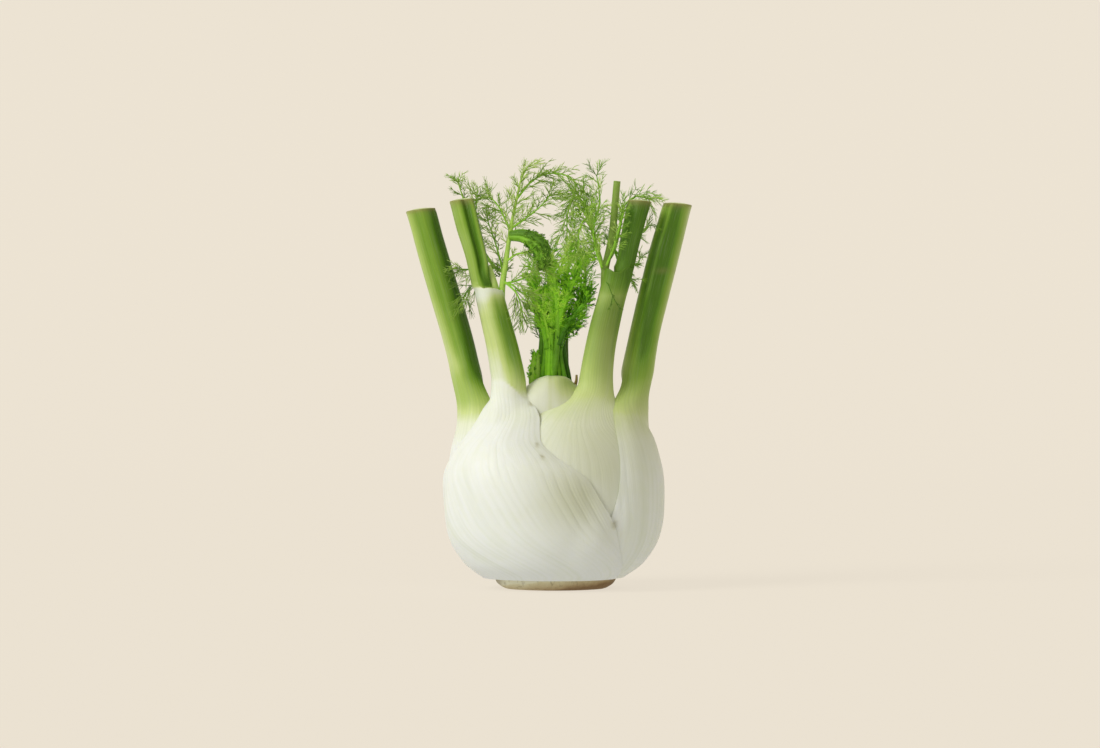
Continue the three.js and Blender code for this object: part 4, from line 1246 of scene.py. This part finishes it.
# %% Fronds
def folded_leaf(line, width, count, seed, **style):
    """Thin branches side by side round a line, as in a young leaf that is still folded."""
    dice = np.random.default_rng(seed)
    line = np.array(line, float)
    side = unit(np.cross(np.gradient(line, axis=0), [0.0, 1.0, 0.0]))
    opened = np.sin(np.linspace(0.15, 0.75, len(line)) * math.pi)[:, None]
    limbs = []
    for turn in np.arange(count) * LEAF_TURN:
        reach = width * math.sqrt(dice.uniform(0.05, 1))
        shift = reach * opened * (math.cos(turn) * side + 0.7 * math.sin(turn) * np.array([0, 1, 0]))
        # Branches that lie further back are a little darker: painted shade.
        tone = style["tone"] + dice.uniform(-0.16, 0.16) - 0.1 * math.sin(turn)
        limbs.append(limb(*(line + shift), **{**style, "tone": tone}))
    return limbs


def build_frond(name, node, limbs, tufts, seed, tone, dry):
    dice = np.random.default_rng(seed)
    threads = Threads()
    for branch in limbs:
        add_limb(threads, dice, **{"tone": tone, "dry": dry, **branch})
    for tuft in tufts:
        add_tuft(threads, dice, tuft, dry)
    points, faces, values = threads.mesh()
    add_piece(name, node, points, faces, frond_green, values)


print("fronds are grown with seeded dice, so they come out the same each time")

# %% [markdown]
# # The left frond
# It comes out of the mouth of the left inner stalk: one upright stem with a node where it branches, an
# arch over the middle, a folded young leaf under that arch, sprays that hang in front, and sprays that lie
# behind the stalk and over its edge. A plant generator could grow all of it, but these few branches give
# the frond its outline, so they are listed one by one and only the leaflets are left to chance.

# %% Left frond
LEFT_LIMBS = [
    limb([-24.5, -7, 130.5], [-24.2, -7, 138], [-22.5, -5, 150], [-20.2, -2, 166], [-17.4, 1, 180],
         [-15.6, 2, 188], [-12.6, 2, 194], radius=1.6, bare=0.42, node=0.55, tone=0.62),
    limb([-27.4, -7, 130.5], [-27.6, -7.4, 137], [-28.6, -6.6, 142.6], [-30, -5.6, 148], radius=2.9,
         tip=0.7, bare=1, reach=0, tone=0.66, stem=0.9),
    limb([-17.6, 1, 179], [-11, 4, 187], [-4.6, 5, 190.6], [2.3, 5, 190.8], [7.8, 4, 188.4],
         [11, 3, 183], bare=0.12, reach=7.5),
    limb([-20.6, -2.5, 164], [-23.6, -1, 171], [-27, 0, 177], [-30.5, 1, 180]),
    limb([-20.4, -2.2, 165], [-12.4, -5, 170.5], [-6.9, -6, 175], [-2.5, -6, 180]),
    limb([-23.6, -6, 143], [-25.5, 0, 152], [-28.5, 2.5, 162], [-31, 3, 169]),
    limb([-24, -6.5, 139.5], [-16.1, -9, 141.5], [-10.1, -11, 144.5], [-6, -12, 146]),
    limb([-23.4, -7, 141], [-17.5, -13, 135], [-15.4, -14, 129], [-14.8, -14, 125], bare=0.4),
    limb([-23.2, -6, 145], [-28, 3, 148], [-34, 6, 157], [-38.5, 6, 168], [-42.5, 5, 180],
         [-44.8, 4, 187], radius=1.0, bare=0.35, reach=5.6, spacing=2.2),
    limb([-35, 6, 159], [-36.5, 5, 171], [-36, 4, 180], bare=0.5),
    limb([-27, 2, 147.5], [-35, 4, 146], [-40, 0, 146.5], [-43.5, -4, 146.5], bare=0.5, tone=0.3),
    limb([-29, 3.5, 149], [-36, 3, 141], [-40, -3, 137], [-42, -6, 133.5], bare=0.5, tone=0.3),
    limb([-23.4, -7, 140], [-19.5, -10.5, 139], [-16.4, -11, 136.5], [-12.6, -10, 134], bare=0.35),
    limb([-22.4, -5.2, 150], [-17, -8, 153.4], [-12, -10, 153], [-8, -11, 149], reach=4.5, spacing=2,
         tone=0.5),
    *folded_leaf([[-20.5, -3.5, 161.7], [-16, -6, 161.7], [-12.4, -8.6, 160.7], [-8.4, -10.6, 158.8],
                  [-5.8, -12.2, 155.8], [-4.7, -13, 151]], 3.0, 14, 5, radius=1.2, tip=0.8, bare=0.3,
                 reach=2.2, spacing=1.3, thick=0.26, tone=0.08, stem=0.34, dry=0.4),
    *folded_leaf([[-12.4, -8.4, 159], [-9.4, -10.4, 157], [-7, -12, 153.6], [-5.4, -13, 149.4]],
                 2.4, 9, 6, radius=1.2, tip=0.8, bare=0.1, reach=2.4, spacing=1.2, thick=0.28,
                 tone=0.1, stem=0.2, dry=0.4),
]
# Dense clumps: middle, radius, number of leaflets, tone and thread.
LEFT_TUFTS = [
    (-4.8, -12, 152.4, 1.6, 10, 0.3, 0.26), (-24.5, -1, 146, 3.4, 16, 0.3, 0.24),
    (-3, 4.4, 190.6, 1.4, 8, 0.4, 0.2),
]
build_frond("fronds_left_threads", "fronds_left", LEFT_LIMBS, LEFT_TUFTS, 23, 0.42, 0.8)

# %% [markdown]
# # The right frond
# It shares the mouth of the right inner stalk with a thin leaf stalk that was cut short. Its main branch
# arches to the left and hangs in a bundle. Small sprays lie behind the stalk and in front of it, and two
# dark twigs at its foot have hardly any leaflets left.

# %% Right frond
RIGHT_LIMBS = [
    limb([22.6, -7, 138.6], [22.9, -7, 146], [25.8, -7.5, 160], [28.4, -8, 186.6], radius=1.75,
         tip=1.6, bare=1, reach=0, tone=0.2, stem=1.0),
    limb([22.7, -7, 144], [19.5, -2, 156], [16.5, 1, 167], [13, 2, 177], [9, 1, 180], [6, -1, 173],
         [5.4, -3, 164], radius=1.1, bare=0.25, spacing=1.5, tone=0.5),
    limb([17, 0.5, 165], [13.4, -4, 169], [11, -7, 163], [10.6, -8, 154], spacing=1.6, tone=0.5),
    limb([16.6, 1, 167], [20.5, 3, 176], [20.2, 3, 184], [19.2, 3, 190], spacing=3.2, thick=0.16),
    limb([13.8, 2, 175], [13.6, 9, 179], [10.5, 12, 182]),
    limb([23.2, -6, 149], [27, 0, 155], [30, 3.5, 166], [32, 4, 176], [38, 4, 180.5], [43.5, 3, 179],
         radius=1, bare=0.3),
    limb([29, 2.5, 162], [36, 5, 162], [41, 4, 164], [43.5, 2, 167], bare=0.4, reach=6),
    limb([27, 0.5, 156], [33, 5, 150], [37.5, 3, 149], [39.5, 0, 152], bare=0.4, reach=5),
    limb([27.5, 1, 155], [31, 4, 146], [35.5, 1, 141.5], bare=0.5, reach=5),
    limb([21.5, -9, 147], [18.6, -12, 155], [17.6, -12, 164], [19, -11, 172], reach=6, spacing=1.6),
    limb([23.5, -10.5, 148], [27, -12.5, 157], [29.6, -12.6, 166], [31, -12.4, 172], bare=0.25,
         reach=4.5, spacing=1.8, thick=0.17),
    limb([22.8, -8, 141], [24.4, -14, 138.6], [26.4, -13.9, 133.6], [29.2, -13.6, 128.6], radius=0.24,
         tip=0.14, bare=0.6, reach=2, spacing=2.4, sides=1, thick=0.13, tone=0.12),
    limb([26.2, -13.9, 134], [25.6, -14, 131], [24.8, -14, 128.4], radius=0.2, tip=0.12, bare=0.6,
         reach=1.4, spacing=2.4, sides=1, thick=0.12, tone=0.12),
]
RIGHT_TUFTS = [
    (12.6, -1, 173, 3.4, 14, 0.5, 0.3), (9.5, -3, 168, 4, 6, 0.6, 0.24), (17.5, 0, 168, 4, 6, 0.66, 0.24),
    (21, 0, 157, 4.4, 8, 0.5, 0.22), (30, 1, 172, 3, 6, 0.34, 0.22), (27, 1, 160, 4, 9, 0.3, 0.22),
]
build_frond("fronds_right_threads", "fronds_right", RIGHT_LIMBS, RIGHT_TUFTS, 37, 0.42, 0.6)

# %% [markdown]
# # The young shoots
# A tight bunch of stems stands in the heart's hollow and bursts into the thickest foliage of all, its
# tones painted bright where it faces the light and dark at the back. The stems that show are listed one by
# one. Thinner ones that only fill the bunch share one shape, so a loop makes them from where they stand
# and where they lean to. A stout dark stem at the back fills the gaps between them with painted shade, and
# a scrap of a withered one stands at the right.

# %% Centre shoots
SHOOT_LIMBS = [
    limb([-7.4, 2.6, 86], [-6.6, 2.2, 105], [-6, 1, 120], [-8, -1, 138], [-10, -2, 148], radius=1.8,
         tip=0.5, bare=0.6, reach=6.5, spacing=1.3, tone=0.5, stem=0.2),
    limb([-3.4, 0.2, 86], [-3.2, 0, 108], [-1.6, -3, 122], [-1.4, -5, 136], [-3.2, -6, 150],
         radius=2.2, tip=0.6, bare=0.55, reach=5, spacing=1.5, thick=0.3, tone=0.8, stem=0.1),
    limb([-2.8, 5.4, 86], [-2.8, 6, 108], [-3.6, 8, 126], [-3, 10, 142], [-2, 11, 154], radius=2.2,
         tip=0.4, bare=0.52, reach=7, spacing=1.3, tone=0.26),
    limb([1.4, 1.2, 86], [1.8, 1, 108], [2.6, 1, 124], [5, 2, 140], [7.4, 3, 156], radius=2.2, tip=0.5,
         bare=0.5, reach=6, spacing=1.4, thick=0.3, tone=0.7, stem=0.1),
    limb([5.6, 3.4, 86], [4.8, 4, 106], [5.6, 5, 119], [11, 4, 130], [14, 3, 142], [13.6, 3, 152],
         radius=1.9, tip=0.4, bare=0.5, reach=7, spacing=1.3, tone=0.34),
    limb([-1.2, -1.6, 94], [0.4, -3, 106], [1.2, -5.2, 118], [0.8, -7.4, 130], [-0.4, -8.4, 140],
         [-1.6, -8, 148], radius=1.6, tip=0.9, bare=0.5, reach=3.4, spacing=1.2, thick=0.34, tone=0.56,
         stem=0.2),
    limb([1.4, -5, 120], [4, -7, 131], [8.4, -6.6, 141], [12, -5, 149], [15, -3.4, 152], radius=1.7,
         tip=0.8, bare=0.16, reach=3.6, spacing=1.0, thick=0.34, tone=0.52, stem=0.0),
    limb([1.6, -4, 112], [5, -6, 120], [9.6, -7.6, 126], [13.4, -7.4, 131], [15, -7, 136], radius=1.6,
         tip=0.8, bare=0.2, reach=4, spacing=1.0, thick=0.34, tone=0.36, stem=0.0),
    limb([-3.6, -1.4, 110], [-5.4, -3.4, 120], [-7.6, -4.8, 130], [-10, -5, 139], [-11.6, -4, 143],
         radius=1.4, tip=0.6, bare=0.3, reach=3.6, spacing=1.1, thick=0.3, tone=0.6, stem=0.0),
    limb([-7.4, 2.6, 86], [-8.2, 1.2, 98], [-8.4, 0.6, 108], radius=2.2, tip=1.2, bare=0.3, reach=2,
         spacing=0.9, tone=0.85, stem=0.6),
    limb([-8.8, 1, 86], [-10.8, -1.5, 94], [-10.6, -2.4, 100], [-9.6, -2, 107], radius=1.5, tip=0.9,
         bare=0.15, reach=2.2, spacing=0.8, thick=0.3, tone=0.85, stem=0.5),
    limb([7.2, -1, 86], [8.8, -2.6, 92], [9.8, -3.6, 95.4], [9.9, -4, 98], radius=1.3, tip=0.5, bare=1,
         reach=0, tone=WITHERED),
    # A thick dark stem at the back that stands in for the shade in the gaps of the bunch: painted shade.
    limb([-0.6, 7, 86], [-0.6, 7.6, 104], [0.6, 8, 122], radius=4.2, tip=2.4, bare=1, reach=0,
         tone=0.05, stem=0.0),
]
# Thinner stems that fill the bunch: where each stands in the hollow, and where it leans to.
# Their tones are light at the front and dark at the back: painted light and shade.
for foot, lean, height, tone in [
    ((-8, 4), (-9.5, 6), 128, 0.3), ((-6, -0.6), (-11, -5), 134, 0.62), ((-5.2, 5.6), (-6, 11), 136, 0.2),
    ((-1.2, 3), (-1, 2), 140, 0.2), ((-1, -2.6), (2, -8), 134, 0.7), ((1.4, 5.8), (4, 11), 138, 0.2),
    ((4, 0.2), (7, -6), 136, 0.24), ((4.6, -1.4), (12, -6), 124, 0.56), ((6.4, 5), (10, 9), 130, 0.2),
    ((6.6, 1.6), (14, -1), 132, 0.2), ((-3.2, -2.4), (-6, -9), 128, 0.8), ((0.6, -1), (3, -4), 118, 0.16),
]:
    middle = np.array(foot) * (0.72, 0.9) - (0.4, 0)
    knots = [*foot, 86], [*foot, 95], [*middle, lerp(95, height, 0.55)], [*lean, height]
    SHOOT_LIMBS.append(
        limb(*knots, radius=1.3, tip=0.45, bare=0.66, reach=5, spacing=1.6, tone=tone, stem=0.1))
SHOOT_TUFTS = [
    (9, 0, 150, 4.6, 22, 0.7, 0.34), (13, -3, 133, 4.2, 26, 0.34, 0.34),
    (0.5, -3, 146, 4.2, 20, 0.82, 0.34), (-8.5, -2, 138, 3.8, 20, 0.5, 0.3),
    (4, -4, 128, 3.4, 18, 0.6, 0.34), (3, 6, 137, 5.5, 22, 0.2, 0.29),
    (8.5, -2, 141, 3.6, 20, 0.5, 0.34), (8.5, 0, 118, 2.6, 14, 0.5, 0.3),
    (-3.4, -4, 132, 3.2, 16, 0.66, 0.32),
]
build_frond("shoots_centre_threads", "shoots_centre", SHOOT_LIMBS, SHOOT_TUFTS, 11, 0.5, 0.0)

# %% [markdown]
# # The studio
# The bulb stands on a pale cream sweep that runs up behind it, so there is no horizon. It could be lit like
# any paper, but then its cream would be uneven and the shadow heavy. So most of its cream is its own glow,
# and it throws no coloured light back on the bulb.

# %% Sweep
CREAM = (0.847, 0.776, 0.665)
GLOW, LIT, LIT_GRAIN = 0.84, 0.16, 0.18  # shares of the cream: glowing, lit, and lit in the grain
SWEEP_FRONT, SWEEP_BACK, SWEEP_TOP, SWEEP_ROUND, HALF_SWEEP = -3.0, 1.2, 4.0, 1.2, 4.0  # metres


def tinted(share):
    return tuple(c * share for c in CREAM)


def build_sweep():
    turn = np.linspace(0, math.pi / 2, 24)[1:]
    bend = [(SWEEP_BACK + SWEEP_ROUND * math.sin(a), SWEEP_ROUND - SWEEP_ROUND * math.cos(a)) for a in turn]
    run = [(SWEEP_FRONT, 0.0), (SWEEP_BACK, 0.0), *bend, (SWEEP_BACK + SWEEP_ROUND, SWEEP_TOP)]
    points = [(x, y, z) for y, z in run for x in (-HALF_SWEEP, HALF_SWEEP)]
    faces = [(2 * i, 2 * i + 1, 2 * i + 3, 2 * i + 2) for i in range(len(run) - 1)]
    mesh = bpy.data.meshes.new("sweep")
    mesh.from_pydata(points, [], faces)
    mesh.polygons.foreach_set("use_smooth", [True] * len(faces))
    paper = Finish(
        "sweep_paper", Roughness=0.9, Specular_IOR_Level=0.0,
        Emission_Color=(*tinted(GLOW), 1), Emission_Strength=1.0,
    )
    grain = paper.noise(paper.place(), 0.4, 2)
    paper.coat(Base_Color=paper.blend(grain * 0.1, tinted(LIT), tinted(LIT_GRAIN)))
    mesh.materials.append(paper.material)
    sweep = bpy.data.objects.new("sweep", mesh)
    bpy.context.collection.objects.link(sweep)
    sweep.visible_diffuse = False
    print("the sweep has", len(faces), "faces")


build_sweep()

# %% [markdown]
# The light is a wide soft one from the upper left and the front. An area lamp would be brighter on the
# near side, so it is a sun with a wide disc. Round it is a dull pale sky, a little brighter and cooler from
# the lower left, which fills the shade under the bulb.

# %% Light and sky
DIM_SKY, BRIGHT_SKY = (0.58, 0.55, 0.46), (0.67, 0.67, 0.645)
BRIGHT_SIDE = (-0.62, -0.35, -0.70)

sun = bpy.data.lights.new("soft_key", "SUN")
sun.energy, sun.angle, sun.color = 1.55, math.radians(28), (1.0, 1.0, 0.97)
key = bpy.data.objects.new("soft_key", sun)
key.rotation_euler = (math.radians(56), 0, math.radians(-60))
bpy.context.collection.objects.link(key)

sky = bpy.data.worlds.new("sky")
bpy.context.scene.world = sky
sky.use_nodes = True
air = Nodes(sky.node_tree)
ahead = air.node("ShaderNodeTexCoord", output="Generated")
facing = air.node("ShaderNodeVectorMath", {"operation": "DOT_PRODUCT"}, {0: ahead, 1: BRIGHT_SIDE}, "Value")
brightness = air.node("ShaderNodeMapRange", None, {"Value": facing, 1: -1, 2: 1})
air.plug(air.tree.nodes["Background"].inputs["Color"], air.blend(brightness, DIM_SKY, BRIGHT_SKY))
bpy.context.scene.view_settings.view_transform = "Standard"
print("key light", sun.energy, "W per square metre")
